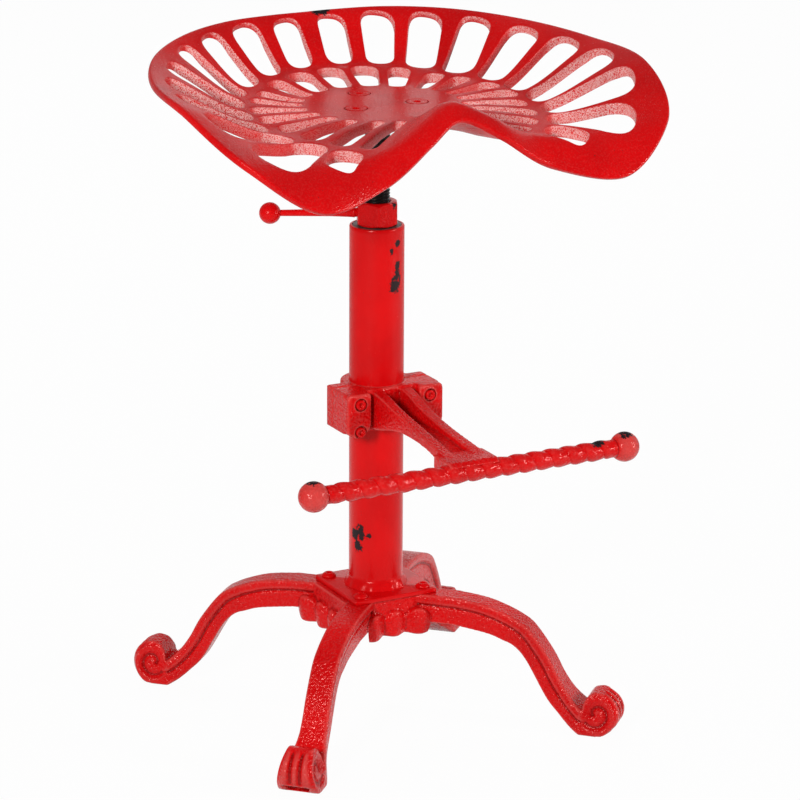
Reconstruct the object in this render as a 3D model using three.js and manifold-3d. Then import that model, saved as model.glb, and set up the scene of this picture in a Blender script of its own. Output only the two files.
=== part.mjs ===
// Tractor seat stool: a cast iron dished seat on a screw spindle, a round column with a clamped
// footrest, and four scroll-footed legs under a square plate. Millimetres, +Z up. The seat and the
// footrest point along -Y, and the origin is on the floor under the middle of the stool's box.
import * as THREE from 'three';
import { mergeVertices } from 'three/addons/utils/BufferGeometryUtils.js';
import Module from 'manifold-3d';

const wasm = await Module();
wasm.setup();

// Clearances shared by every piece
const seatingGap = 0.3;
const runningClearance = 0.05;
const cutOverrun = 4;

// Column tube and the threaded bush in its top
const columnTop = 471.3;
const columnRadius = 25.4;
const columnWall = 2.5;
const columnChamfer = 1.2;
const weldReach = 4;
const weldHeight = 6;
const bushLength = 30;

// Spindle, an M24 screw
const spindleRadius = 12;
const spindleChamfer = 1.5;
const spindleLength = 258;

// Lock nut and its lever
const nutAcrossFlats = 36.3;
const nutHeight = 22;
const nutChamfer = 3.2;
const leverReach = 98;
const leverRootRadius = 4.2;
const leverTipRadius = 2.9;
const leverShankDepth = 5;
const ballRadius = 10;
const leverTurn = THREE.MathUtils.degToRad(-114.4);

// Seat casting. Heights are above the floor, and the pan is the flat round its screws.
const panHeight = 586.5;
const seatHalfWidth = 232;
const seatForward = 193;
const rimRise = 57;
const seatThickness = 6.5;
const rimBulge = 1.5;
const spokeCentre = 38;
const webRadius = 131;
const webBackReach = 15;
const innerSlotRadius = 66;
const webWidth = 7;
const widestSlot = 46;

// Seat flange and its screws
const flangeRadius = 52;
const flangeThickness = 6;
const flangeBossRadius = 20;
const flangeBossHeight = 12;
const seatScrewCircle = 36;
const seatScrewHeadRadius = 10;
const seatScrewHeadDepth = 4.5;
const seatScrewRadius = 5;
const seatScrewLength = 15;
const seatScrewSocketAcross = 6;

// Base plate and its button-head screws
const plateTop = 123.3;
const plateSide = 86;
const plateThickness = 4;
const baseScrewCircle = 46.4;
const baseScrewHeadRadius = 6.8;
const baseScrewHeadHeight = 3.9;
const baseScrewRadius = 3;
const baseScrewLength = 16;
const socketAcross = 4.6;
const socketDepth = 2.2;

// Legs. The scroll is the round end that stands on the floor.
const legSpan = 241.5;
const scrollRadius = 20.5;
const legWidth = 21;
const legRoot = 33;
const legRootDepth = 27.3;
const footTopWidth = 23.5;
const footBottomWidth = 39;
const mouldingDepth = 9;
const mouldingStep = 1.1;

// Hub casting between the legs, with a ruffled skirt on each side that bows out towards the legs.
// Its two long sides lie further out than its two short ones.
const hubLongReach = 49;
const hubShortReach = 39.5;
const hubThickness = 14;
const apronDrop = 26;
const longSkirt = { reach: 52.5, halfLength: 46.5, lobes: 4 };
const shortSkirt = { reach: 42, halfLength: 34, lobes: 3 };
const skirtBow = 9.5;
const skirtTop = 14;
const skirtDrop = 38;
const skirtWall = 8;
const skirtRuffle = 2.6;

// Footrest: front clamp casting with its arm, back clamp, bolts and twisted bar
const barForward = 185.2;
const barHalfSpan = 157.7;
const barRadius = 9;
const barRidge = 1.3;
const barPitch = 70;
const barBallRadius = 13.8;
const clampBottom = 280;
const clampHeight = 43;
const clampTop = clampBottom + clampHeight;
const barHeight = clampBottom + 7.2;
const clampHalfWidth = 49.5;
const clampSplit = 8.3;
const clampFaceForward = 30;
const clampPadForward = 39;
const clampPadInner = 25;
const clampBackFlange = -5;
const clampWall = 8;
const clampCornerRadius = 3;
const armHalfWidth = 20;
const ribThickness = 8.5;
const armFloorThickness = 5;
const saddleHalfWidth = 25;
const saddleDepth = 25.2;
const boltSpacingX = 72;
const boltFromTop = 10;
const boltFromBottom = 6.8;
const boltRadius = 2.8;
const boltHeadRadius = 4.8;
const boltHeadHeight = 5;
const boltRecessRadius = 6.3;
const boltRecessDepth = 4;
const boltEndLength = 2.5;
const boltNutAcross = 10;
const boltNutHeight = 5;

// Smoothness
const columnSegments = 32;
const smallSegments = 10;
const ballSegments = 14;
const columnsPerKnot = 2;

// Finishes
const castRed = { color: 0xc8161c, roughness: 0.45, metalness: 0.1 };
const smoothRed = { color: 0xd3181e, roughness: 0.25, metalness: 0.1 };
const blackSteel = { color: 0x1c1a1a, roughness: 0.4, metalness: 0.8 };

const halfTurn = Math.PI;
const quarterTurn = Math.PI / 2;
const eighthTurn = Math.PI / 4;
const circle = 2 * Math.PI;
const cos30 = Math.cos(Math.PI / 6);

// Geometry helpers

function weld(geometry) {
  const bare = new THREE.BufferGeometry();
  bare.setAttribute('position', geometry.getAttribute('position').clone());
  if (geometry.index) bare.setIndex(geometry.index.clone());
  const merged = mergeVertices(bare);
  const corners = merged.index.array;
  const kept = [];
  for (let i = 0; i < corners.length; i += 3) {
    const [a, b, c] = [corners[i], corners[i + 1], corners[i + 2]];
    if (a !== b && b !== c && c !== a) kept.push(a, b, c);
  }
  merged.setIndex(kept);
  return faceOut(merged);
}

function signedVolume(geometry) {
  const at = geometry.getAttribute('position');
  const corners = geometry.index.array;
  const [a, b, c] = [new THREE.Vector3(), new THREE.Vector3(), new THREE.Vector3()];
  let volume = 0;
  for (let i = 0; i < corners.length; i += 3) {
    a.fromBufferAttribute(at, corners[i]);
    b.fromBufferAttribute(at, corners[i + 1]);
    c.fromBufferAttribute(at, corners[i + 2]);
    volume += a.dot(b.cross(c)) / 6;
  }
  return volume;
}

function faceOut(geometry) {
  if (signedVolume(geometry) < 0) geometry.setIndex([...geometry.index.array].reverse());
  return geometry;
}

function toSolid(geometry) {
  const closed = weld(geometry);
  return new wasm.Manifold(new wasm.Mesh({
    numProp: 3,
    vertProperties: Float32Array.from(closed.getAttribute('position').array),
    triVerts: Uint32Array.from(closed.index.array),
  }));
}

function toGeometry(solid) {
  const mesh = solid.getMesh();
  const geometry = new THREE.BufferGeometry();
  geometry.setAttribute('position', new THREE.BufferAttribute(Float32Array.from(mesh.vertProperties), 3));
  geometry.setIndex([...mesh.triVerts]);
  return geometry;
}

// The body with every cutter taken away
function cut(body, cutters) {
  let solid = toSolid(body);
  for (const cutter of cutters) solid = solid.subtract(toSolid(cutter));
  return toGeometry(solid);
}

// All the bodies as one
function join(bodies) {
  let solid = toSolid(bodies[0]);
  for (const body of bodies.slice(1)) solid = solid.add(toSolid(body));
  return toGeometry(solid);
}

// What two bodies have in common
function common(first, second) {
  return toGeometry(toSolid(first).intersect(toSolid(second)));
}

// A profile of [radius, height] points turned round Z
function turned(profile, segments) {
  const points = profile.map(([radius, height]) => new THREE.Vector2(radius, height));
  return new THREE.LatheGeometry(points, segments).rotateX(quarterTurn);
}

// A round bar, or a cone, standing on Z from one height to another
function rod(bottomRadius, topRadius, bottom, top, segments) {
  const height = top - bottom;
  const geometry = new THREE.CylinderGeometry(topRadius, bottomRadius, height, segments);
  return geometry.rotateX(quarterTurn).translate(0, 0, bottom + height / 2);
}

// A round bar lying along Y, from one forward distance to another; forward is -Y
function rodForward(radius, from, to, x, z, segments) {
  const geometry = new THREE.CylinderGeometry(radius, radius, to - from, segments);
  return geometry.translate(x, -(from + to) / 2, z);
}

// A block from its lowest corner to its highest
function block(low, high) {
  const size = high.map((value, i) => value - low[i]);
  const middle = high.map((value, i) => (value + low[i]) / 2);
  return new THREE.BoxGeometry(...size).translate(...middle);
}

// An outline of [x, y] points raised from one height to another
function raised(outline, bottom, top) {
  const shape = new THREE.Shape(outline.map(([x, y]) => new THREE.Vector2(x, y)));
  const geometry = new THREE.ExtrudeGeometry(shape, { depth: top - bottom, bevelEnabled: false });
  return geometry.translate(0, 0, bottom);
}

// A side view of [forward, height] points, given a width across X
function sideCut(outline, fromX, toX) {
  const shape = new THREE.Shape(outline.map(([forward, height]) => new THREE.Vector2(forward, height)));
  const geometry = new THREE.ExtrudeGeometry(shape, { depth: toX - fromX, bevelEnabled: false });
  // forward, height and depth become -Y, Z and X
  const turn = new THREE.Matrix4().set(0, 0, 1, fromX, -1, 0, 0, 0, 0, 1, 0, 0, 0, 0, 0, 1);
  return geometry.applyMatrix4(turn);
}

// Evenly spaced points on a smooth curve through the given ones
function smooth(points, steps) {
  const curve = new THREE.SplineCurve(points.map(([x, y]) => new THREE.Vector2(x, y)));
  return curve.getSpacedPoints(steps).map((point) => [point.x, point.y]);
}

// Points on an arc
function arc(x, y, radius, from, to, steps) {
  const curve = new THREE.EllipseCurve(x, y, radius, radius, from, to, to < from);
  return curve.getPoints(steps).map((point) => [point.x, point.y]);
}

// A closed skin over a row of rings, with a fan over the first and the last
function loft(rings) {
  const count = rings[0].length;
  const points = [];
  const corners = [];
  for (const ring of rings) {
    for (const point of ring) points.push(point.x, point.y, point.z);
  }
  for (let i = 0; i + 1 < rings.length; i += 1) {
    for (let j = 0; j < count; j += 1) {
      const next = (j + 1) % count;
      const [a, b, c, d] = [i * count + j, i * count + next, (i + 1) * count + next, (i + 1) * count + j];
      corners.push(a, b, c, a, c, d);
    }
  }
  for (const last of [0, 1]) {
    const ring = rings[last * (rings.length - 1)];
    const middle = ring.reduce((sum, point) => sum.add(point), new THREE.Vector3()).divideScalar(count);
    const hub = points.length / 3;
    const start = last * (rings.length - 1) * count;
    points.push(middle.x, middle.y, middle.z);
    for (let j = 0; j < count; j += 1) {
      const pair = [start + j, start + ((j + 1) % count)];
      corners.push(hub, pair[1 - last], pair[last]);
    }
  }
  const geometry = new THREE.BufferGeometry();
  geometry.setAttribute('position', new THREE.Float32BufferAttribute(points, 3));
  geometry.setIndex(corners);
  return geometry;
}

// A hexagonal prism standing on Z, with a flat facing +Y
function hexagon(acrossFlats, bottom, top) {
  return rod(acrossFlats / 2 / cos30, acrossFlats / 2 / cos30, bottom, top, 6).rotateZ(halfTurn / 6);
}

// The radius of a many-sided hole that a shaft of the given radius just turns in
function runningHole(shaftRadius, segments) {
  return (shaftRadius + runningClearance) / Math.cos(halfTurn / segments);
}

function piece(name, geometry, finish) {
  const shown = geometry.index ? geometry.toNonIndexed() : geometry;
  shown.computeVertexNormals();
  const mesh = new THREE.Mesh(shown, new THREE.MeshStandardMaterial(finish));
  mesh.name = name;
  return mesh;
}

// Seat casting

// The rim from the pommel round one side to the middle of the back. Forward and sideways are shares
// of seatForward and seatHalfWidth. The rest are shares of rimRise above the pan: rim is the very
// edge, crest what the surface climbs to before it rolls down to that edge, and dip how far it has
// risen or sunk before the climb. The climb goes from start to full, shares of the way out.
const rimShares = [
  { forward: 0.839, sideways: 0, rim: 0.277, crest: 0.51, dip: 0, start: 0.22, full: 0.9 },
  { forward: 0.896, sideways: 0.159, rim: -0.03, crest: 0.3, dip: 0, start: 0.25, full: 0.9 },
  { forward: 0.933, sideways: 0.362, rim: -0.56, crest: 0.03, dip: -0.1, start: 0.5, full: 0.9 },
  { forward: 1, sideways: 0.651, rim: -0.76, crest: 0.03, dip: -0.2, start: 0.7, full: 1.03 },
  { forward: 0.845, sideways: 0.901, rim: -0.03, crest: -0.05, dip: -0.14, start: 0.55, full: 1.03 },
  { forward: 0.44, sideways: 1, rim: 0.579, crest: 0.579, dip: -0.1, start: 0.52, full: 1.03 },
  { forward: 0, sideways: 0.961, rim: 0.711, crest: 0.711, dip: 0.02, start: 0.58, full: 1.03 },
  { forward: -0.355, sideways: 0.82, rim: 0.833, crest: 0.833, dip: 0.05, start: 0.59, full: 1.03 },
  { forward: -0.601, sideways: 0.6, rim: 0.947, crest: 0.947, dip: 0.06, start: 0.67, full: 1.03 },
  { forward: -0.746, sideways: 0.358, rim: 0.991, crest: 0.991, dip: 0.08, start: 0.7, full: 1.03 },
  { forward: -0.788, sideways: 0.138, rim: 1, crest: 1, dip: 0.08, start: 0.72, full: 1.03 },
  { forward: -0.788, sideways: 0, rim: 1, crest: 1, dip: 0.08, start: 0.72, full: 1.03 },
];
const dipStartShare = 0.3;
const dipEndShare = 0.65;
const rollStartShare = 0.78;
const ringShares = [0.3, 0.48, 0.58, 0.66, 0.73, 0.8, 0.86, 0.92, 0.96, 1];

const mirroredRim = [...rimShares, ...rimShares.slice(1, -1).reverse().map((knot) => (
  { ...knot, sideways: -knot.sideways }
))];

// A closed curve through three values of every knot
function rimCurveThrough(values) {
  return new THREE.CatmullRomCurve3(mirroredRim.map((knot) => new THREE.Vector3(...values(knot))), true);
}

const rimCurve = rimCurveThrough((knot) => (
  [knot.sideways * seatHalfWidth, -knot.forward * seatForward, knot.rim * rimRise]
));
const crestCurve = rimCurveThrough((knot) => [knot.crest * rimRise, knot.start, knot.full]);
const dipCurve = rimCurveThrough((knot) => [knot.dip * rimRise, 0, 0]);

function ease(value, from, to) {
  return THREE.MathUtils.smoothstep(value, from, to);
}

// A point on the seat's top: share is the way out from the spoke centre to the rim, and round is
// the way round the rim from the pommel
function seatPoint(share, round) {
  const rim = rimCurve.getPoint(round);
  const crest = crestCurve.getPoint(round);
  const dip = dipCurve.getPoint(round).x;
  const climb = (crest.x - dip) * ease(share, crest.y, crest.z);
  const roll = Math.max(share - rollStartShare, 0) / (1 - rollStartShare);
  return new THREE.Vector3(
    rim.x * share,
    -spokeCentre + (rim.y + spokeCentre) * share,
    panHeight + dip * ease(share, dipStartShare, dipEndShare) + climb - (crest.x - rim.z) * roll * roll,
  );
}

function seatNormal(share, round) {
  const step = 0.002;
  const outward = seatPoint(share + step, round).sub(seatPoint(share - step, round));
  const along = seatPoint(share, round + step).sub(seatPoint(share, round - step + 1));
  return outward.cross(along).normalize();
}

function seatShell() {
  const columns = mirroredRim.length * columnsPerKnot;
  const rounds = Array.from({ length: columns }, (_, i) => i / columns);
  const top = ringShares.map((share) => rounds.map((round) => seatPoint(share, round)));
  const bottom = ringShares.map((share) => rounds.map((round) => (
    seatPoint(share, round).addScaledVector(seatNormal(share, round), -seatThickness)
  )));
  const edge = rounds.map((round, i) => {
    const outward = seatPoint(1, round).sub(seatPoint(ringShares.at(-2), round)).normalize();
    return top.at(-1)[i].clone().lerp(bottom.at(-1)[i], 0.5).addScaledVector(outward, rimBulge);
  });
  return loft([...top, edge, ...bottom.reverse()]);
}

// The place round the rim that lies in a direction from the spoke centre; 0 is forward
function roundAt(direction) {
  let [low, high] = [0, 0.5];
  for (let i = 0; i < 40; i += 1) {
    const middle = (low + high) / 2;
    const rim = rimCurve.getPoint(middle);
    if (Math.atan2(rim.x, -rim.y - spokeCentre) < direction) low = middle;
    else high = middle;
  }
  return (low + high) / 2;
}

// Slots are drawn on the dished surface and cut straight down. A slot lies along a spoke, from one
// distance to another from the spoke centre, with a rounded end of its own width at each end.
const slotEndPower = 2.5;
const slotEndSteps = 4;
const profileSteps = 24;

function slotOutline(direction, from, to, innerWidth, outerWidth) {
  const round = roundAt(Math.abs(direction));
  const rim = seatPoint(1, round);
  const reach = Math.hypot(rim.x, rim.y + spokeCentre);
  const stations = [];
  let travelled = 0;
  let before = null;
  for (let i = 0; i <= profileSteps; i += 1) {
    const distance = from + (to - from) * i / profileSteps;
    const height = seatPoint(distance / reach, round).z;
    if (before) travelled += Math.hypot(distance - before.distance, height - before.height);
    before = { distance, height, travelled };
    stations.push(before);
  }
  const distanceAt = (length) => {
    const wanted = THREE.MathUtils.clamp(length, 0, travelled);
    const i = Math.max(1, stations.findIndex((station) => station.travelled >= wanted));
    const [a, b] = [stations[i - 1], stations[i]];
    return a.distance + (b.distance - a.distance) * (wanted - a.travelled) / (b.travelled - a.travelled);
  };
  const innerEnd = Math.min(innerWidth, travelled) / 2;
  const outerEnd = Math.min(outerWidth, travelled) / 2;
  const power = (value) => Math.sign(value) * Math.abs(value) ** (2 / slotEndPower);
  const outline = [];
  for (const [end, width, sign, centre] of [
    [outerEnd, outerWidth, 1, travelled - outerEnd],
    [innerEnd, innerWidth, -1, innerEnd],
  ]) {
    for (let i = 0; i <= slotEndSteps; i += 1) {
      const angle = -quarterTurn + halfTurn * i / slotEndSteps;
      const along = distanceAt(centre + sign * end * power(Math.cos(angle)));
      const across = sign * width / 2 * power(Math.sin(angle));
      outline.push([
        along * Math.sin(direction) + across * Math.cos(direction),
        -spokeCentre - along * Math.cos(direction) + across * Math.sin(direction),
      ]);
    }
  }
  return outline;
}

// Spokes are a 25th of a turn apart, counted from the back
const spokeStep = circle / 25;

function spokeDirection(number) {
  return halfTurn - number * spokeStep;
}

// The distance from the spoke centre to the middle of the web ring, which reaches further behind
function webReach(direction) {
  return webRadius + webBackReach * Math.max(0, -Math.cos(direction)) ** 2;
}

// Outer slots, one table row per spoke from the back: end is a share of the way to the rim, and the
// widths are shares of the widest slot
const outerSlotShares = [
  { end: 0.957, inner: 0.58, outer: 0.59 },
  { end: 0.952, inner: 0.59, outer: 0.67 },
  { end: 0.943, inner: 0.61, outer: 0.66 },
  { end: 0.936, inner: 0.62, outer: 0.67 },
  { end: 0.92, inner: 0.58, outer: 0.67 },
  { end: 0.918, inner: 0.56, outer: 0.71 },
  { end: 0.92, inner: 0.58, outer: 0.76 },
  { end: 0.911, inner: 0.6, outer: 0.76 },
  { end: 0.89, inner: 0.5, outer: 1 },
  { end: 0.845, inner: 0.58, outer: 0.58 },
];
// Inner slots, widths as above; the first lies in the middle of the back
const innerSlotShares = [
  { inner: 0.41, outer: 0.54 },
  { inner: 0.4, outer: 0.54 },
  { inner: 0.33, outer: 0.46 },
  { inner: 0.28, outer: 0.37 },
  { inner: 0.2, outer: 0.28 },
  { inner: 0.17, outer: 0.23 },
  { inner: 0.17, outer: 0.21 },
  { inner: 0.17, outer: 0.23 },
  { inner: 0.18, outer: 0.27 },
  { inner: 0.2, outer: 0.31 },
  { inner: 0.2, outer: 0.27 },
];

// The distance from the spoke centre, in a direction, to the circle where the inner slots begin
function innerSlotStart(direction) {
  const across = spokeCentre * Math.sin(direction);
  return Math.sqrt(innerSlotRadius ** 2 - across ** 2) - spokeCentre * Math.cos(direction);
}

function seatSlots() {
  const low = panHeight - rimRise - seatThickness;
  const high = panHeight + 2 * rimRise;
  const slots = [];
  const addPair = (direction, from, to, shares) => {
    const widths = [shares.inner * widestSlot, shares.outer * widestSlot];
    slots.push(raised(slotOutline(direction, from, to, ...widths), low, high));
    if (direction < halfTurn) slots.push(raised(slotOutline(-direction, from, to, ...widths), low, high));
  };
  outerSlotShares.forEach((shares, i) => {
    const direction = spokeDirection(i + 0.5);
    const rim = seatPoint(1, roundAt(direction));
    const reach = Math.hypot(rim.x, rim.y + spokeCentre);
    addPair(direction, webReach(direction) + webWidth / 2, shares.end * reach, shares);
  });
  innerSlotShares.forEach((shares, i) => {
    const direction = spokeDirection(i);
    addPair(direction, innerSlotStart(direction), webReach(direction) - webWidth / 2, shares);
  });
  return slots;
}

const seatScrewPlaces = [0, 1, 2].map((i) => new THREE.Vector3(
  seatScrewCircle * Math.sin(circle * i / 3),
  seatScrewCircle * Math.cos(circle * i / 3),
  0,
));

// A countersunk screw's head and shank below its top, grown by a gap
function countersunk(top, gap, length) {
  return turned([
    [0, top],
    [seatScrewHeadRadius + gap, top],
    [seatScrewRadius + gap, top - seatScrewHeadDepth - gap],
    [seatScrewRadius + gap, top - length],
    [0, top - length],
  ], smallSegments);
}

// What a screw with a gap round it takes out of the pieces that it goes through
function seatScrewCutter(place) {
  const top = panHeight + cutOverrun;
  const mouth = seatScrewHeadRadius + seatingGap;
  return join([
    countersunk(panHeight, seatingGap, seatScrewLength + cutOverrun),
    rod(mouth, mouth, panHeight - seatingGap, top, smallSegments),
  ]).translate(place.x, place.y, 0);
}

function seatPan() {
  return cut(seatShell(), [...seatSlots(), ...seatScrewPlaces.map(seatScrewCutter)]);
}

function seatScrew(place) {
  const socket = hexagon(seatScrewSocketAcross, panHeight - socketDepth, panHeight + cutOverrun);
  return cut(countersunk(panHeight, 0, seatScrewLength), [socket]).translate(place.x, place.y, 0);
}

// Seat flange: a disc with a boss, turning on the spindle's top
const flangeTop = panHeight - seatThickness - seatingGap;
const bossBottom = flangeTop - flangeThickness - flangeBossHeight;

function seatFlange() {
  const edge = flangeThickness / 4;
  const hole = runningHole(spindleRadius, columnSegments);
  const disc = turned([
    [hole, flangeTop],
    [flangeRadius - edge, flangeTop],
    [flangeRadius, flangeTop - edge],
    [flangeRadius, flangeTop - flangeThickness],
    [flangeBossRadius + edge, flangeTop - flangeThickness - edge],
    [flangeBossRadius, bossBottom],
    [hole, bossBottom],
    [hole, flangeTop],
  ], columnSegments);
  const holes = seatScrewPlaces.map((place) => (
    rod(seatScrewRadius + seatingGap, seatScrewRadius + seatingGap, flangeTop - flangeThickness - cutOverrun,
      flangeTop + cutOverrun, smallSegments).translate(place.x, place.y, 0)
  ));
  return cut(disc, holes);
}

// Column, its bush and the spindle

const spindleTop = flangeTop - seatingGap;
const spindleBottom = spindleTop - spindleLength;

function columnTube() {
  const bore = columnRadius - columnWall;
  const bead = arc(columnRadius, plateTop, weldReach, 0, quarterTurn, 3)
    .map(([radius, height]) => [radius, plateTop + (height - plateTop) * weldHeight / weldReach]);
  return turned([
    [bore, plateTop],
    ...bead,
    [columnRadius, columnTop - columnChamfer],
    [columnRadius - columnChamfer, columnTop],
    [bore, columnTop],
    [bore, plateTop],
  ], columnSegments);
}

function columnBush() {
  const outer = columnRadius - columnWall - seatingGap;
  const hole = runningHole(spindleRadius, columnSegments);
  const bottom = columnTop - bushLength;
  return turned([
    [hole, bottom],
    [outer, bottom],
    [outer, columnTop],
    [hole, columnTop],
    [hole, bottom],
  ], columnSegments);
}

function spindle() {
  return turned([
    [0, spindleBottom],
    [spindleRadius - spindleChamfer, spindleBottom],
    [spindleRadius, spindleBottom + spindleChamfer],
    [spindleRadius, spindleTop - spindleChamfer],
    [spindleRadius - spindleChamfer, spindleTop],
    [0, spindleTop],
  ], columnSegments);
}

// Lock nut, with a lever screwed into one flat and a ball on the lever

const nutBottom = columnTop + seatingGap;
const nutTop = nutBottom + nutHeight;
const leverHeight = nutBottom + nutHeight / 2;

// Something standing on Z about the column, laid along the lever's direction
function alongLever(geometry) {
  return geometry.rotateX(quarterTurn).rotateZ(leverTurn).translate(0, 0, leverHeight);
}

function lockNut() {
  const corner = nutAcrossFlats / 2 / cos30;
  const flat = nutAcrossFlats / 2;
  const rise = nutChamfer / 2;
  const round = turned([
    [0, nutBottom],
    [flat - seatingGap, nutBottom],
    [corner, nutBottom + rise / 2],
    [corner, nutTop - nutChamfer],
    [flat, nutTop - rise / 2],
    [flat - nutChamfer, nutTop],
    [0, nutTop],
  ], columnSegments);
  const prism = hexagon(nutAcrossFlats, nutBottom - cutOverrun, nutTop + cutOverrun).rotateZ(leverTurn);
  const hole = runningHole(spindleRadius, columnSegments);
  const bore = rod(hole, hole, nutBottom - cutOverrun, nutTop + cutOverrun, columnSegments);
  const shank = leverRootRadius + seatingGap;
  const leverHole = alongLever(rod(shank, shank, flat - leverShankDepth - seatingGap, flat + cutOverrun,
    smallSegments));
  return cut(common(round, prism), [bore, leverHole]);
}

function lockLever() {
  const root = nutAcrossFlats / 2 - leverShankDepth;
  return alongLever(rod(leverRootRadius, leverTipRadius, root, leverReach, smallSegments));
}

function lockBall() {
  const ball = new THREE.SphereGeometry(ballRadius, ballSegments, ballSegments / 2)
    .rotateX(quarterTurn).translate(0, 0, leverReach);
  const hole = leverTipRadius + 2 * seatingGap;
  const start = leverReach - 2 * ballRadius;
  const socket = rod(hole, hole, start, leverReach + seatingGap, smallSegments);
  return alongLever(cut(ball, [socket]));
}

// Base plate and its screws

// The hexagonal socket of a small screw
function hexSocket(top) {
  return hexagon(socketAcross, top - socketDepth, top + cutOverrun);
}

const cornerTurns = [0, 1, 2, 3].map((i) => eighthTurn + quarterTurn * i);

// Where the screw of one corner goes
function baseScrewPlace(turn) {
  return [baseScrewCircle * Math.cos(turn), baseScrewCircle * Math.sin(turn), 0];
}

function baseScrewHole(turn, bottom) {
  const radius = baseScrewRadius + seatingGap;
  const hole = rod(radius, radius, bottom, plateTop + cutOverrun, smallSegments);
  return hole.translate(...baseScrewPlace(turn));
}

function basePlate() {
  const half = plateSide / 2;
  const plate = block([-half, -half, plateTop - plateThickness], [half, half, plateTop]);
  return cut(plate, cornerTurns.map((turn) => baseScrewHole(turn, plateTop - plateThickness - cutOverrun)));
}

// A button head's profile, as shares of its radius and height
const buttonHeadShares = [[1, 0], [0.92, 0.5], [0.6, 0.9], [0, 1]];

function baseScrew(turn) {
  const bottom = plateTop - baseScrewLength;
  const screw = turned([
    [0, bottom],
    [baseScrewRadius, bottom],
    [baseScrewRadius, plateTop],
    ...buttonHeadShares.map(([radius, height]) => (
      [radius * baseScrewHeadRadius, plateTop + height * baseScrewHeadHeight]
    )),
  ], smallSegments);
  return cut(screw, [hexSocket(plateTop + baseScrewHeadHeight)]).translate(...baseScrewPlace(turn));
}

// Legs

const legTop = plateTop - plateThickness;

// Side view of a leg: reach is a share of legSpan, height a share of legTop. The top edge runs from
// the hub to the notch behind the scroll, and the underside from the foot's flat back to the hub.
const topEdgeShares = [
  [0.33, 1], [0.43, 0.977], [0.5, 0.942], [0.58, 0.877], [0.64, 0.793], [0.715, 0.59],
  [0.762, 0.415], [0.81, 0.28], [0.858, 0.19],
];
const curlShares = [[0.858, 0.19], [0.863, 0.26], [0.884, 0.325], [0.914, 0.344]];
const undersideShares = [
  [0.845, 0], [0.803, 0.055], [0.762, 0.13], [0.708, 0.25], [0.625, 0.54], [0.575, 0.65], [0.526, 0.692],
  [0.464, 0.732], [0.33, 0.771],
];

function legPoints(shares) {
  return shares.map(([reach, height]) => [reach * legSpan, height * legTop]);
}

function legSide() {
  const scrollReach = legSpan - scrollRadius;
  const scroll = arc(scrollReach, scrollRadius, scrollRadius, quarterTurn, -quarterTurn, 9);
  const underside = smooth(legPoints(undersideShares), 12);
  return [
    [legRoot, legTop],
    ...smooth(legPoints(topEdgeShares), 14),
    ...smooth(legPoints(curlShares), 3).slice(1, -1),
    ...scroll,
    ...underside,
    [legRoot, legTop - legRootDepth],
  ];
}

// The band along the leg's top edge that stands proud of its sides
function mouldingSide() {
  const edge = smooth(legPoints(topEdgeShares), 14).slice(0, -1);
  const inner = edge.map(([reach, height], i) => {
    const [before, after] = [edge[Math.max(i - 1, 0)], edge[Math.min(i + 1, edge.length - 1)]];
    const along = new THREE.Vector2(after[0] - before[0], after[1] - before[1]).normalize();
    return [reach + along.y * mouldingDepth, height - along.x * mouldingDepth];
  });
  return [[legRoot, legTop], ...edge, ...inner.reverse(), [legRoot, legTop - mouldingDepth]];
}

// A leg's half width: even down to the ankle, then flaring into the foot, more at the floor
function legHalfWidth(reach, height) {
  const ankle = undersideShares[3][0] * legSpan;
  const foot = topEdgeShares.at(-1)[0] * legSpan;
  const low = 1 - Math.min(height / (2 * scrollRadius), 1);
  const footWidth = footTopWidth + (footBottomWidth - footTopWidth) * low;
  return THREE.MathUtils.lerp(legWidth, footWidth, ease(reach, ankle, foot)) / 2;
}

function leg(turn) {
  const half = legWidth / 2;
  const body = sideCut(legSide(), -half, half);
  const band = sideCut(mouldingSide(), -half - mouldingStep, half + mouldingStep);
  const solid = join([body, band]);
  const at = solid.getAttribute('position');
  for (let i = 0; i < at.count; i += 1) {
    at.setX(i, at.getX(i) * legHalfWidth(-at.getY(i), at.getZ(i)) / half);
  }
  // the side view points along -Y, so a further quarter turn brings it to its direction
  solid.rotateZ(turn + quarterTurn);
  return cut(solid, [baseScrewHole(turn, plateTop - baseScrewLength - 2 * seatingGap)]);
}

// Hub casting: a slab notched for the legs, with a ruffled skirt hung from its four sides

const pointsPerLobe = 6;

// Plan of the skirt, drawn in by so much and ruffled by so much in and out
function skirtOutline(inset, ruffle) {
  return cornerTurns.flatMap((turn, corner) => {
    const side = turn - eighthTurn;
    const skirt = corner % 2 ? shortSkirt : longSkirt;
    const steps = skirt.lobes * pointsPerLobe;
    return Array.from({ length: steps + 1 }, (_, i) => {
      const share = 2 * i / steps - 1;
      const wave = Math.cos(circle * i / pointsPerLobe);
      const out = skirt.reach - inset + skirtBow * share * share - ruffle * wave;
      const aside = share * skirt.halfLength;
      return [
        out * Math.cos(side) - aside * Math.sin(side),
        out * Math.sin(side) + aside * Math.cos(side),
      ];
    });
  });
}

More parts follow.
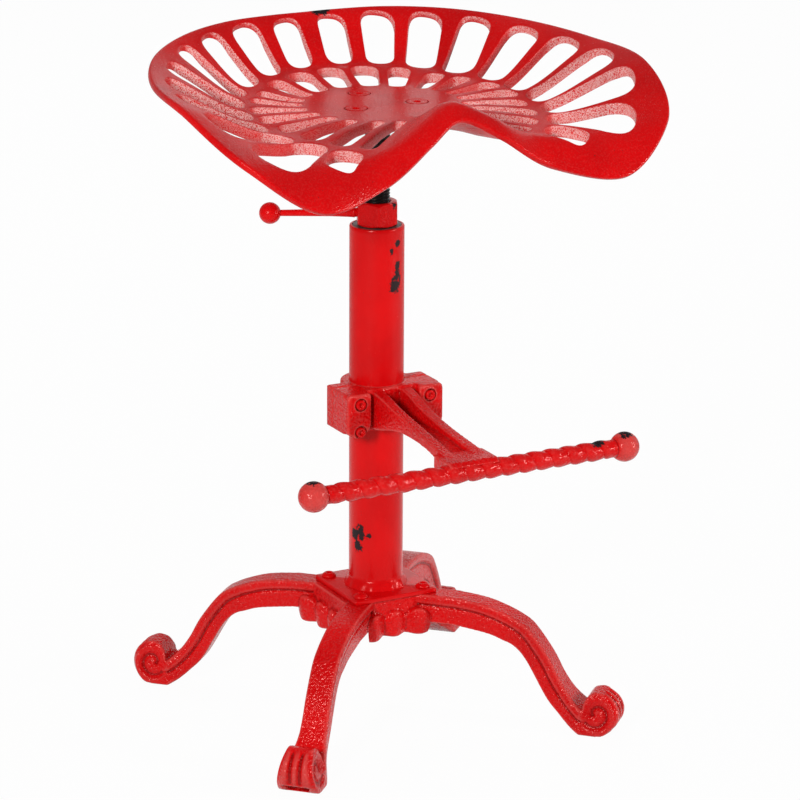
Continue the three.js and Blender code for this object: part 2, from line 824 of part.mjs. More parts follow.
function hubCasting() {
  const bottom = legTop - skirtDrop;
  const outside = raised(skirtOutline(0, skirtRuffle), bottom, legTop - skirtTop);
  const inside = raised(skirtOutline(skirtWall, 0), bottom - cutOverrun, legTop);
  const [long, short] = [hubLongReach, hubShortReach];
  const apron = cut(block([-long, -short, legTop - apronDrop], [long, short, legTop]), [
    block(
      [-long + skirtWall, -short + skirtWall, bottom],
      [long - skirtWall, short - skirtWall, legTop - hubThickness],
    ),
  ]);
  const notches = cornerTurns.map((turn) => {
    const half = legWidth / 2 + mouldingStep + seatingGap;
    const notch = block(
      [legRoot - seatingGap, -half, legTop - skirtDrop - cutOverrun],
      [legSpan / 2, half, legTop + cutOverrun],
    );
    return notch.rotateZ(turn);
  });
  return cut(join([apron, cut(outside, [inside])]), notches);
}

// Footrest clamp

const columnHole = columnRadius + seatingGap;
const boltPlaces = [clampTop - boltFromTop, clampBottom + boltFromBottom].flatMap((height) => (
  [[-boltSpacingX / 2, height], [boltSpacingX / 2, height]]
));

function boltHoles(from, to) {
  return boltPlaces.map(([x, z]) => rodForward(boltRadius + seatingGap, from, to, x, z, smallSegments));
}

// Side view of the arm's ribs: forward is a share of the way from the clamp's face to the bar, and
// height is a share of the clamp's height above its bottom
const armTopShares = [
  [0, 0.97], [0.116, 0.907], [0.267, 0.767], [0.509, 0.628], [0.751, 0.512], [0.917, 0.43],
];
const armBottomShares = [
  [0.917, 0.06], [0.84, 0.22], [0.731, 0.302], [0.611, 0.349], [0.411, 0.37], [0.267, 0.326],
  [0.076, 0.153], [0, 0.116],
];

function armPoints(shares) {
  const start = clampFaceForward - clampWall / 4;
  return shares.map(([forward, up]) => (
    [THREE.MathUtils.lerp(start, barForward, forward), THREE.MathUtils.lerp(clampBottom, clampTop, up)]
  ));
}

// Side view of the block that holds the bar: back is a share of saddleDepth behind the bar's axis,
// and up a share of barRadius above it
const saddleShares = [[1, 1.1], [0, 1.1], [0, -0.9], [0.68, -0.9], [1, 0]];

function clampFront() {
  const bodies = [];
  bodies.push(raised([
    [-clampHalfWidth, -clampSplit], [clampHalfWidth, -clampSplit],
    [clampHalfWidth, -clampFaceForward], [-clampHalfWidth, -clampFaceForward],
  ], clampBottom + clampWall / 2, clampTop));
  for (const side of [-1, 1]) {
    const middle = boltSpacingX / 2;
    const pad = new THREE.Shape([
      [clampPadInner, clampTop],
      [clampHalfWidth, clampTop],
      [clampHalfWidth, clampBottom + clampWall * 0.7],
      [middle + clampCornerRadius, clampBottom],
      [clampPadInner, clampBottom + clampWall * 1.3],
    ].map(([x, z]) => new THREE.Vector2(side * x, z)));
    const geometry = new THREE.ExtrudeGeometry(pad, {
      depth: clampPadForward - clampFaceForward + seatingGap,
      bevelEnabled: false,
    });
    bodies.push(geometry.rotateX(quarterTurn).translate(0, -clampFaceForward + seatingGap, 0));
    const rib = [...smooth(armPoints(armTopShares), 8), ...smooth(armPoints(armBottomShares), 8)];
    const [inner, outer] = [armHalfWidth - ribThickness, armHalfWidth];
    bodies.push(sideCut(rib, Math.min(side * inner, side * outer), Math.max(side * inner, side * outer)));
  }
  const underside = smooth(armPoints(armBottomShares), 8);
  const floor = [...underside, ...underside.map(([forward, height]) => (
    [forward, height + armFloorThickness]
  )).reverse()];
  bodies.push(sideCut(floor, -armHalfWidth + seatingGap, armHalfWidth - seatingGap));
  const saddle = saddleShares.map(([back, up]) => (
    [barForward - back * saddleDepth, barHeight + up * barRadius]
  ));
  bodies.push(sideCut(saddle, -saddleHalfWidth, saddleHalfWidth));
  const bar = rod(barRadius + seatingGap, barRadius + seatingGap, -saddleHalfWidth - cutOverrun,
    saddleHalfWidth + cutOverrun, 2 * smallSegments).rotateY(quarterTurn)
    .translate(0, -barForward, barHeight);
  const bore = rod(columnHole, columnHole, clampBottom - cutOverrun, clampTop + cutOverrun, columnSegments);
  const recesses = boltPlaces.map(([x, z]) => rodForward(boltRecessRadius,
    clampPadForward - boltRecessDepth, clampPadForward + cutOverrun, x, z, smallSegments));
  return cut(join(bodies), [bar, bore, ...boltHoles(0, clampPadForward), ...recesses]);
}

function clampBack() {
  const split = clampSplit - 2 * seatingGap;
  const hump = columnHole + clampWall;
  const start = Math.asin(-clampBackFlange / hump);
  const outline = [
    [clampHalfWidth, -split],
    [clampHalfWidth, -clampBackFlange],
    ...arc(0, 0, hump, start, halfTurn - start, 10),
    [-clampHalfWidth, -clampBackFlange],
    [-clampHalfWidth, -split],
    [-columnHole, -split],
    ...arc(0, 0, columnHole, halfTurn, 0, 16),
    [columnHole, -split],
  ];
  const spotFaces = boltPlaces.map(([x, z]) => (
    rodForward(boltRecessRadius, -clampPadForward, clampBackFlange, x, z, smallSegments)
  ));
  const holes = boltHoles(-clampPadForward, clampPadForward);
  return cut(raised(outline, clampBottom + clampWall / 2, clampTop), [...spotFaces, ...holes]);
}

const boltHeadSeat = clampPadForward - boltRecessDepth;
const boltNutFace = clampBackFlange - seatingGap;

function clampBolt([x, z]) {
  const end = boltNutFace - boltNutHeight - boltEndLength;
  const head = boltHeadSeat + seatingGap;
  const screw = turned([
    [0, end],
    [boltRadius, end],
    [boltRadius, head],
    [boltHeadRadius, head],
    [boltHeadRadius, head + boltHeadHeight],
    [0, head + boltHeadHeight],
  ], smallSegments);
  const socket = hexSocket(head + boltHeadHeight);
  return cut(screw, [socket]).rotateX(quarterTurn).translate(x, 0, z);
}

function clampNut([x, z]) {
  const hole = boltRadius + seatingGap;
  const bottom = boltNutFace - boltNutHeight;
  const nut = cut(hexagon(boltNutAcross, bottom, boltNutFace), [
    rod(hole, hole, bottom - cutOverrun, boltNutFace + cutOverrun, smallSegments),
  ]);
  return nut.rotateX(quarterTurn).translate(x, 0, z);
}

// Footrest bar: a four-ridged twist between two balls
const barRidges = 4;
const ringsPerPitch = 12;

function footrestBar() {
  const around = 2 * barRidges;
  const [start, end] = [-barHalfSpan + seatingGap, barHalfSpan - seatingGap];
  const steps = Math.round((end - start) / barPitch * ringsPerPitch);
  const rings = Array.from({ length: steps + 1 }, (_, i) => {
    const x = THREE.MathUtils.lerp(start, end, i / steps);
    return Array.from({ length: around }, (__, j) => {
      const angle = circle * (j / around + x / barPitch);
      const radius = j % 2 ? barRadius - barRidge : barRadius;
      return new THREE.Vector3(x, radius * Math.cos(angle), radius * Math.sin(angle));
    });
  });
  const balls = [-1, 1].map((side) => {
    const ball = new THREE.SphereGeometry(barBallRadius, ballSegments, ballSegments / 2);
    return ball.translate(side * barHalfSpan, 0, 0);
  });
  return join([loft(rings), ...balls]).translate(0, -barForward, barHeight);
}

// The whole stool, put together about the column and then set over the origin

const stool = new THREE.Group();
stool.add(
  piece('seat_pan', seatPan(), castRed),
  piece('seat_flange', seatFlange(), blackSteel),
  piece('spindle', spindle(), blackSteel),
  piece('column_bush', columnBush(), smoothRed),
  piece('column_tube', columnTube(), smoothRed),
  piece('lock_nut', lockNut(), smoothRed),
  piece('lock_lever', lockLever(), smoothRed),
  piece('lock_ball', lockBall(), smoothRed),
  piece('base_plate', basePlate(), castRed),
  piece('hub_casting', hubCasting(), castRed),
  piece('footrest_clamp_front', clampFront(), castRed),
  piece('footrest_clamp_back', clampBack(), castRed),
  piece('footrest_bar', footrestBar(), castRed),
);
seatScrewPlaces.forEach((place, i) => stool.add(piece(`seat_screw_${i + 1}`, seatScrew(place), castRed)));
cornerTurns.forEach((turn, i) => {
  stool.add(piece(`leg_${i + 1}`, leg(turn), castRed));
  stool.add(piece(`base_screw_${i + 1}`, baseScrew(turn), castRed));
});
boltPlaces.forEach((place, i) => {
  stool.add(piece(`clamp_bolt_${i + 1}`, clampBolt(place), castRed));
  stool.add(piece(`clamp_nut_${i + 1}`, clampNut(place), castRed));
});

const box = new THREE.Box3().setFromObject(stool, true);
const assembly = new THREE.Group();
stool.position.set(-(box.min.x + box.max.x) / 2, -(box.min.y + box.max.y) / 2, -box.min.z);
assembly.add(stool);

export default assembly;
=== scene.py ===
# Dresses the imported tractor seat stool. Lengths are millimetres about the column's axis, with the
# front of the stool towards -Y, and become metres where a piece is made.
import math

import bmesh
import bpy
import numpy as np
from mathutils import Matrix, Vector
from mathutils.geometry import delaunay_2d_cdt


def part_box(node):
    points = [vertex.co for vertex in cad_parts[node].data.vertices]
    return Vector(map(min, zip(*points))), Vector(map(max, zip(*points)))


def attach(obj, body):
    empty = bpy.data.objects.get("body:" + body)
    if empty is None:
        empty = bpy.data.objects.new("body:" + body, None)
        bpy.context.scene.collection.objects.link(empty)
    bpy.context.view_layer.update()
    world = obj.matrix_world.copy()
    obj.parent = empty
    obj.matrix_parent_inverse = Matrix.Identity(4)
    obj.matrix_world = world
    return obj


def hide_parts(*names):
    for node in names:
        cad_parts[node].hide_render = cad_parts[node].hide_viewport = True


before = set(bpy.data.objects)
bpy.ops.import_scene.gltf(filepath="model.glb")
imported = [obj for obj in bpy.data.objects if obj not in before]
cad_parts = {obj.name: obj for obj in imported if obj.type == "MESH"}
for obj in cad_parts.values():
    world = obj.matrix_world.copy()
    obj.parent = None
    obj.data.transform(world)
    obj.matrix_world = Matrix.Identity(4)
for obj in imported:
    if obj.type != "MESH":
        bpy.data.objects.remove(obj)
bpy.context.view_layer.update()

MM = 0.001
TURN = 2 * math.pi
SPINDLE_LOW, SPINDLE_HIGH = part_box("spindle")
AXIS_Y = (SPINDLE_LOW[1] + SPINDLE_HIGH[1]) / 2

# ---------------------------------------------------------------- measures

COLUMN_TOP = 471.3
COLUMN_RADIUS = 25.4
COLUMN_WALL = 2.5
PLATE_TOP = 123.3
PLATE_SIDE = 86.0
PLATE_THICKNESS = 4.0
LEG_TOP = PLATE_TOP - PLATE_THICKNESS

SPINDLE_RADIUS = 12.0
THREAD_PITCH = 3.0
THREAD_DEPTH = 1.5

NUT_ACROSS = 36.3
NUT_BOTTOM = COLUMN_TOP + 0.3
NUT_TOP = NUT_BOTTOM + 22.0
LEVER_REACH = 98.0
LEVER_ROOT = 4.2
LEVER_TIP = 2.9
LEVER_BALL = 10.0
LEVER_TURN = math.radians(-114.4)

PAN_HEIGHT = 586.5
SEAT_HALF_WIDTH = 232.0
SEAT_FORWARD = 193.0
RIM_RISE = 57.0
SEAT_THICKNESS = 6.5
RIM_BULGE = 0.35
SPOKE_CENTRE = 38.0
SEAT_SCREW_CIRCLE = 36.0
SEAT_SCREW_HEAD = 10.0
FLANGE_RADIUS = 52.0

BAR_FORWARD = 185.2
BAR_HEIGHT = 287.2
BAR_HALF_SPAN = 157.7
BAR_RADIUS = 9.0
BAR_VALLEY = 7.2
BAR_TWIST = 17.5
BAR_NECK = 8.0
BAR_BALL = 13.8
CLAMP_BOTTOM = 280.0
CLAMP_TOP = 323.0
CLAMP_HALF_WIDTH = 49.5
CLAMP_SPLIT = 8.3
CLAMP_FACE = 30.0
CLAMP_PAD = 39.0
CLAMP_WALL = 8.0
CLAMP_BORE = COLUMN_RADIUS + 0.15
BOLT_HOLE = 3.1
BOLT_SINK = 6.3
ARM_HALF_WIDTH = 20.0
RIB_THICKNESS = 11.0
BOLT_PLACES = [(-36.0, 313.0), (36.0, 313.0), (-36.0, 286.8), (36.0, 286.8)]

LEG_SPAN = 241.5
SCROLL_RADIUS = 20.5
LEG_HALF = 10.5
LEG_ROOT = 33.0
LEG_ROOT_DEPTH = 27.3
FOOT_TOP_WIDTH = 23.5
FOOT_BOTTOM_WIDTH = 39.0
BASE_SCREW_CIRCLE = 46.4

# ---------------------------------------------------------------- meshes


def ease(value, start, end):
    """Smooth step: 0 before start, 1 after end, 3t squared less 2t cubed between."""
    t = np.clip((value - start) / (end - start), 0, 1)
    return t * t * (3 - 2 * t)


def raw_mesh(name, points, faces):
    """A mesh in metres from points in millimetres about the column."""
    metres = np.asarray(points, float) * MM
    metres[:, 1] += AXIS_Y
    mesh = bpy.data.meshes.new(name)
    mesh.from_pydata(metres.tolist(), [], faces)
    return mesh


def close_up(mesh):
    """Merges doubles, drops empty faces and turns every face outwards."""
    work = bmesh.new()
    work.from_mesh(mesh)
    bmesh.ops.remove_doubles(work, verts=work.verts, dist=2e-6)
    bmesh.ops.dissolve_degenerate(work, edges=work.edges, dist=1e-7)
    bmesh.ops.recalc_face_normals(work, faces=work.faces)
    work.to_mesh(mesh)
    work.free()


def chips_at(points, chips):
    """How deep each point lies in the nearest chip: 1 at a chip's middle and 0 at its rim."""
    depth = np.zeros(len(points))
    for x, y, z, across, tall in chips:
        away = np.hypot(np.hypot(points[:, 0] - x, points[:, 1] - y) / across, (points[:, 2] - z) / tall)
        depth = np.maximum(depth, 1 - away)
    return depth


def hollows(mesh, points, reach):
    """How far each point lies under its surroundings, in mm, and below nought over them.

    The surroundings are the points' places after each has moved to its neighbours' mean `reach`
    times, and the depth is measured along the point's normal."""
    ends = np.empty(len(mesh.edges) * 2, int)
    mesh.edges.foreach_get("vertices", ends)
    normals = np.empty(len(points) * 3)
    mesh.vertex_normals.foreach_get("vector", normals)
    first, second = ends.reshape(-1, 2).T
    count = np.maximum(np.bincount(ends, minlength=len(points)), 1)[:, None]
    moved = points
    for _ in range(reach):
        total = np.stack([
            np.bincount(first, moved[second, k], len(points))
            + np.bincount(second, moved[first, k], len(points)) for k in range(3)
        ], -1)
        moved = total / count
    return ((moved - points) * normals.reshape(-1, 3)).sum(-1)


def finish_piece(name, points, faces, body, slot, finish, replaced, chips=(), sharp=40,
                 rough=None, painted_shading_reach=0):
    """Makes the piece, gives it its chips and finish, and says what it rides on and replaces."""
    mesh = raw_mesh(name, points, faces)
    close_up(mesh)
    mesh.shade_smooth()
    mesh.set_sharp_from_angle(angle=math.radians(sharp))
    made = np.empty(len(mesh.vertices) * 3)
    mesh.vertices.foreach_get("co", made)
    made = made.reshape(-1, 3)
    made[:, 1] -= AXIS_Y
    mark = mesh.attributes.new("chip", "FLOAT", "POINT")
    mark.data.foreach_set("value", chips_at(made / MM, chips))
    # painted shade and highlight: the hollow depth darkens the enamel in hollows and lightens it on crests
    if painted_shading_reach:
        mark = mesh.attributes.new("hollow", "FLOAT", "POINT")
        mark.data.foreach_set("value", hollows(mesh, made / MM, painted_shading_reach))
    # the rough mark carries a painted sheen: the enamel pales where it is high
    if rough is not None:
        mark = mesh.attributes.new("rough", "FLOAT", "POINT")
        mark.data.foreach_set("value", rough(made / MM))
    mesh.materials.append(finish)
    piece = bpy.data.objects.new(name, mesh)
    bpy.context.scene.collection.objects.link(piece)
    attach(piece, body)
    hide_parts(*replaced)
    return piece


def skin(rows, looped=False):
    """Quads over rows of rings; the ends are fans to a ring's middle, or meet where looped."""
    count, around = rows.shape[:2]
    points = rows.reshape(-1, 3)
    row = np.arange(count if looped else count - 1)[:, None]
    col = np.arange(around)[None, :]
    nxt = (col + 1) % around
    up = (row + 1) % count
    quads = np.stack([row * around + col, row * around + nxt, up * around + nxt, up * around + col], -1)
    faces = quads.reshape(-1, 4).tolist()
    if not looped:
        points = np.vstack([points, rows[0].mean(0), rows[-1].mean(0)])
        ring = np.arange(around)
        turned = (ring + 1) % around
        low = np.full(around, count * around)
        faces += np.stack([low, turned, ring], -1).tolist()
        last = (count - 1) * around
        faces += np.stack([low + 1, last + ring, last + turned], -1).tolist()
    return points, faces


def joined(bodies):
    """Several point and face sets as one."""
    points, faces, start = [], [], 0
    for body_points, body_faces in bodies:
        points.append(body_points)
        faces += [[corner + start for corner in face] for face in body_faces]
        start += len(body_points)
    return np.vstack(points), faces


def rounded(profile, radius, steps=4, closed=False):
    """The profile with each corner replaced by a short parabola that starts a radius before it."""
    profile = np.asarray(profile, float)
    count = len(profile)
    kept = []
    for i in range(count):
        at = profile[i]
        if not closed and i in (0, count - 1):
            kept.append(at)
            continue
        before, after = profile[i - 1] - at, profile[(i + 1) % count] - at
        lengths = [np.hypot(*before[:2]), np.hypot(*after[:2])]
        start = at + before * min(radius / lengths[0], 0.45)
        end = at + after * min(radius / lengths[1], 0.45)
        for t in np.linspace(0, 1, steps + 1):
            kept.append((1 - t) ** 2 * start + 2 * t * (1 - t) * at + t * t * end)
    return np.array(kept)


def hexagonal(angle):
    """How much further out than its flats a hexagon reaches in each direction."""
    return 1 / np.cos(angle % (TURN / 6) - TURN / 12)


def turned(profile, around=64, looped=False):
    """A profile of radius, height and hexagon share turned about Z."""
    profile = np.asarray(profile, float)
    if profile.shape[1] == 2:
        profile = np.c_[profile, np.zeros(len(profile))]
    angle = np.arange(around) * TURN / around
    radius = profile[:, :1] * (1 + profile[:, 2:3] * (hexagonal(angle)[None, :] - 1))
    rows = np.stack([
        radius * np.cos(angle), radius * np.sin(angle), np.repeat(profile[:, 1:2], around, 1)
    ], -1)
    return skin(rows, looped)


def laid(body, place, direction):
    """A body that stands on Z, laid with its Z along a direction and its foot at a place."""
    points, faces = body
    turn = Vector((0, 0, 1)).rotation_difference(Vector(direction)).to_matrix()
    return points @ np.array(turn).T + np.asarray(place, float), faces


def spun(points, angle):
    """Points turned about the column."""
    c, s = math.cos(angle), math.sin(angle)
    return points @ np.array([[c, s, 0], [-s, c, 0], [0, 0, 1]])


def curve_through(knots, steps):
    """An even Catmull-Rom curve through the knots, in equal steps of its own length."""
    knots = np.asarray(knots, float)
    padded = np.vstack([knots[:1], knots, knots[-1:]])
    t = np.linspace(0, 1, 25)[:-1, None]
    spans = []
    for i in range(len(knots) - 1):
        a, b, c, d = padded[i:i + 4]
        slope_in, slope_out = (c - a) / 2, (d - b) / 2
        spans.append(b + slope_in * t + (3 * (c - b) - 2 * slope_in - slope_out) * t ** 2
                     + (2 * (b - c) + slope_in + slope_out) * t ** 3)
    return evenly(np.vstack(spans + [knots[-1:]]), steps)


def evenly(line, steps):
    """A line taken again at equal steps of its length."""
    length = np.r_[0, np.cumsum(np.hypot(*np.diff(line, axis=0).T))]
    at = np.linspace(0, length[-1], steps + 1)
    return np.stack([np.interp(at, length, line[:, k]) for k in range(line.shape[1])], -1)


def arc(x, y, radius, start, end, steps):
    """Points on an arc, angles in radians."""
    angle = np.linspace(start, end, steps + 1)
    return np.stack([x + radius * np.cos(angle), y + radius * np.sin(angle)], -1)


def prism(outline, low, high, way):
    """An outline carried straight from low to high: up Z, across X or forward along -Y."""
    outline = np.asarray(outline, float)
    count = len(outline)
    u, v = outline.T
    ends = []
    for at in (low, high):
        level = np.full(count, float(at))
        ends.append({
            "up": np.stack([u, v, level], -1),
            "across": np.stack([level, -u, v], -1),
            "forward": np.stack([u, -level, v], -1),
        }[way])
    ring = np.arange(count)
    following = (ring + 1) % count
    walls = np.stack([ring, following, following + count, ring + count], -1).tolist()
    faces = [ring[::-1].tolist(), (ring + count).tolist()] + walls
    return np.vstack(ends), faces


def block(low, high):
    """A block from its lowest corner to its highest."""
    (x0, y0, z0), (x1, y1, z1) = low, high
    return prism([(x0, y0), (x1, y0), (x1, y1), (x0, y1)], z0, z1, "up")


def settled(points, faces, modify):
    """The points and faces that are left after one modifier."""
    mesh = raw_mesh("rough", points, faces)
    close_up(mesh)
    rough = bpy.data.objects.new("rough", mesh)
    bpy.context.scene.collection.objects.link(rough)
    modify(rough)
    seen = rough.evaluated_get(bpy.context.evaluated_depsgraph_get()).to_mesh()
    made = np.empty(len(seen.vertices) * 3)
    seen.vertices.foreach_get("co", made)
    made = made.reshape(-1, 3)
    made[:, 1] -= AXIS_Y
    left = [list(face.vertices) for face in seen.polygons]
    bpy.data.objects.remove(rough)
    bpy.data.meshes.remove(mesh)
    return made / MM, left


def cast(bodies, grain):
    """Overlapping bodies melted into one skin of small squares."""
    def melt(rough):
        remesh = rough.modifiers.new("melt", "REMESH")
        remesh.mode = "VOXEL"
        remesh.voxel_size = grain * MM
    points, faces = joined(bodies)
    return settled(points, faces, melt)


def carved(body, cutters):
    """The body with the cutters taken away."""
    cutter_points, cutter_faces = joined(cutters)
    mesh = raw_mesh("cutter", cutter_points, cutter_faces)
    close_up(mesh)
    tool = bpy.data.objects.new("cutter", mesh)
    bpy.context.scene.collection.objects.link(tool)

    def carve(rough):
        cut = rough.modifiers.new("carve", "BOOLEAN")
        cut.operation = "DIFFERENCE"
        cut.solver = "MANIFOLD"
        cut.object = tool
    made = settled(*body, carve)
    bpy.data.objects.remove(tool)
    bpy.data.meshes.remove(mesh)
    return made


def relaxed(body, rounds, share=0.5):
    """Each point moved part of the way to the mean of its neighbours, a number of times."""
    points, faces = body
    corners = np.array([face if len(face) == 4 else face + face[-1:] for face in faces])
    pairs = np.vstack([corners[:, [k, (k + 1) % 4]] for k in range(4)])
    pairs = pairs[pairs[:, 0] != pairs[:, 1]]
    ends = np.r_[pairs[:, 0], pairs[:, 1]]
    others = np.r_[pairs[:, 1], pairs[:, 0]]
    count = np.bincount(ends, minlength=len(points))[:, None]
    for _ in range(rounds):
        total = np.stack([
            np.bincount(ends, points[others, k], len(points)) for k in range(3)
        ], -1)
        points = points + share * (total / count - points)
    return points, faces


# ---------------------------------------------------------------- finishes


class Nodes:
    """A short way to lay out a material's nodes."""

    def __init__(self, name, tree=None):
        if tree is None:
            self.material = bpy.data.materials.new(name)
            self.material.use_nodes = True
            tree = self.material.node_tree
        self.tree = tree
        self.tree.nodes.clear()

    def add(self, kind, values=None, **settings):
        node = self.tree.nodes.new(kind)
        for key, value in settings.items():
            setattr(node, key, value)
        for key, value in (values or {}).items():
            if isinstance(value, bpy.types.NodeSocket):
                self.tree.links.new(value, node.inputs[key])
            else:
                node.inputs[key].default_value = value
        return node

    def noise(self, where, size, detail=2.0, roughness=0.5, distortion=0.0):
        made = self.add("ShaderNodeTexNoise", {
            "Vector": where, "Scale": 1 / (size * MM), "Detail": detail, "Roughness": roughness,
            "Distortion": distortion,
        })
        return made.outputs["Fac"]

    def maths(self, operation, first, second=0.0, third=0.0):
        return self.add("ShaderNodeMath", {0: first, 1: second, 2: third}, operation=operation).outputs[0]

    def between(self, value, low, high, start=0.0, end=1.0):
        made = self.add("ShaderNodeMapRange", {
            "Value": value, "From Min": low, "From Max": high, "To Min": start, "To Max": end,
        }, interpolation_type="SMOOTHSTEP")
        return made.outputs["Result"]

    def mixed(self, share, first, second):
        made = self.add("ShaderNodeMix", data_type="RGBA")
        for key, value in ((0, share), (6, first), (7, second)):
            if isinstance(value, bpy.types.NodeSocket):
                self.tree.links.new(value, made.inputs[key])
            else:
                made.inputs[key].default_value = value
        return made.outputs[2]

    def bump(self, height, depth, strength, before=None):
        values = {"Height": height, "Distance": depth * MM, "Strength": strength}
        if before is not None:
            values["Normal"] = before
        return self.add("ShaderNodeBump", values).outputs["Normal"]


def enamel(name, sand, sand_size, gloss, waves, glint=0.0):
    """Red enamel: sandy texture, brush waves, worn pits, black chips, and painted shade and highlights."""
    made = Nodes(name)
    where = made.add("ShaderNodeTexCoord").outputs["Object"]
    broad = made.noise(where, 60, 3)
    grain = made.noise(where, sand_size * 1.5, 0.6, 0.4)
    fine = made.noise(where, sand_size * 0.8, 1, 0.5)
    wave = made.noise(where, 9, 2, 0.4)
    patch = made.noise(where, 26, 3, 0.6)
    speck = made.noise(where, 2.6, 2, 0.55)
    edge = made.noise(where, 4, 4, 0.7, 0.5)
    painted_sheen_mask = made.add("ShaderNodeAttribute", attribute_name="rough").outputs["Fac"]
    # chips: the marked depth, broken up by noise
    marked = made.add("ShaderNodeAttribute", attribute_name="chip").outputs["Fac"]
    torn = made.maths("MULTIPLY_ADD", edge, 2.4, -1.2)
    depth = made.maths("MULTIPLY_ADD", marked, 1.3, torn)
    inside = made.maths("MULTIPLY", made.between(depth, 0.46, 0.52), made.between(marked, 0.02, 0.1))
    pits = made.maths("MULTIPLY", made.between(speck, 0.72, 0.75), made.between(patch, 0.54, 0.6))
    gone = made.maths("MAXIMUM", inside, made.maths("MULTIPLY", pits, 0.8))
    tone = made.mixed(made.between(broad, 0.35, 0.7), (*RED, 1), (*DEEP_RED, 1))
    # painted shade in hollows and a painted highlight on crests, both from the hollow depth
    hollow = made.add("ShaderNodeAttribute", attribute_name="hollow").outputs["Fac"]
    tone = made.mixed(made.between(hollow, 0.08, 0.6, 0.0, 0.65), tone, (*PAINTED_SHADE_RED, 1))
    tone = made.mixed(made.between(hollow, -0.1, -0.7, 0.0, 0.16), tone, (*PAINTED_HIGHLIGHT_PINK, 1))
    # painted glints: the grain's crests are mixed towards a pale pink in place of lamp highlights
    crests = made.maths("MULTIPLY", made.between(grain, 0.5, 0.62), glint)
    highlighted = made.mixed(crests, tone, (*PAINTED_HIGHLIGHT_PINK, 1))
    # painted sheen: the seat's slot walls, marked by the rough attribute, are mixed towards a pale pink
    painted_sheen = made.maths("MULTIPLY", made.between(fine, 0.38, 0.58), painted_sheen_mask)
    highlighted = made.mixed(made.maths("MULTIPLY", painted_sheen, 0.85), highlighted, (*PAINTED_SHEEN_PINK, 1))
    shown = made.mixed(gone, highlighted, (0.012, 0.011, 0.013, 1))
    rough = made.maths("MULTIPLY_ADD", grain, 0.2, gloss - 0.08)
    rough = made.maths("MULTIPLY_ADD", gone, 0.3, rough)
    soft = made.bump(wave, 0.9, waves)
    sandy = made.bump(grain, 2.6 * sand, 1.0, soft)
    sandier = made.bump(fine, 0.3 * sand, 0.6, sandy)
    last = made.bump(made.maths("SUBTRACT", 1.0, gone), 0.3, 0.8, sandier)
    shader = made.add("ShaderNodeBsdfPrincipled", {
        "Base Color": shown, "Roughness": rough, "Normal": last, "Specular IOR Level": 0.3,
        "Specular Tint": (1.0, 0.5, 0.47, 1),
    })
    made.add("ShaderNodeOutputMaterial", {"Surface": shader.outputs["BSDF"]})
    return made.material


def steel(name, colour, gloss, oil):
    """Dark steel with fine turning marks and an oil film that browns it a little in patches."""
    made = Nodes(name)
    where = made.add("ShaderNodeTexCoord").outputs["Object"]
    flat = made.add("ShaderNodeMapping", {"Vector": where, "Scale": (1, 1, 14)}).outputs["Vector"]
    marks = made.noise(flat, 7, 3, 0.6)
    film = made.noise(where, 12, 3)
    fine = made.noise(where, 0.8, 2)
    tone = made.mixed(made.between(film, 0.4, 0.7), (*colour, 1), (*oil, 1))
    rough = made.maths("MULTIPLY_ADD", film, 0.25, gloss - 0.1)
    scored = made.bump(marks, 0.1, 0.4)
    shader = made.add("ShaderNodeBsdfPrincipled", {
        "Base Color": tone, "Roughness": rough, "Normal": made.bump(fine, 0.06, 0.4, scored),
        "Metallic": 0.7,
    })
    made.add("ShaderNodeOutputMaterial", {"Surface": shader.outputs["BSDF"]})
    return made.material


RED = (0.76, 0.0025, 0.004)
DEEP_RED = (0.64, 0.002, 0.0035)
# The next three colours are painted light: a dark shade for hollows, a pale highlight for crests and grain,
# and a pale sheen for the seat's slot walls.
PAINTED_SHADE_RED = (0.16, 0.001, 0.0015)
PAINTED_HIGHLIGHT_PINK = (0.86, 0.34, 0.3)
PAINTED_SHEEN_PINK = (0.93, 0.6, 0.57)
seat_red = enamel("seat_enamel", 0.13, 1.1, 0.2, 0.2, 0.02)
cast_red = enamel("casting_enamel", 0.42, 1.4, 0.16, 0.6, 0.03)
tube_red = enamel("column_enamel", 0.04, 1.2, 0.2, 0.08)
small_red = enamel("fastener_enamel", 0.12, 1.0, 0.22, 0.15)
bar_red = enamel("bar_enamel", 0.3, 1.8, 0.15, 0.3, 0.03)
black_steel = steel("oiled_black_steel", (0.018, 0.017, 0.018), 0.36, (0.035, 0.028, 0.024))
bush_steel = steel("bush_steel", (0.22, 0.21, 0.2), 0.38, (0.1, 0.085, 0.07))

# ---------------------------------------------------------------- seat

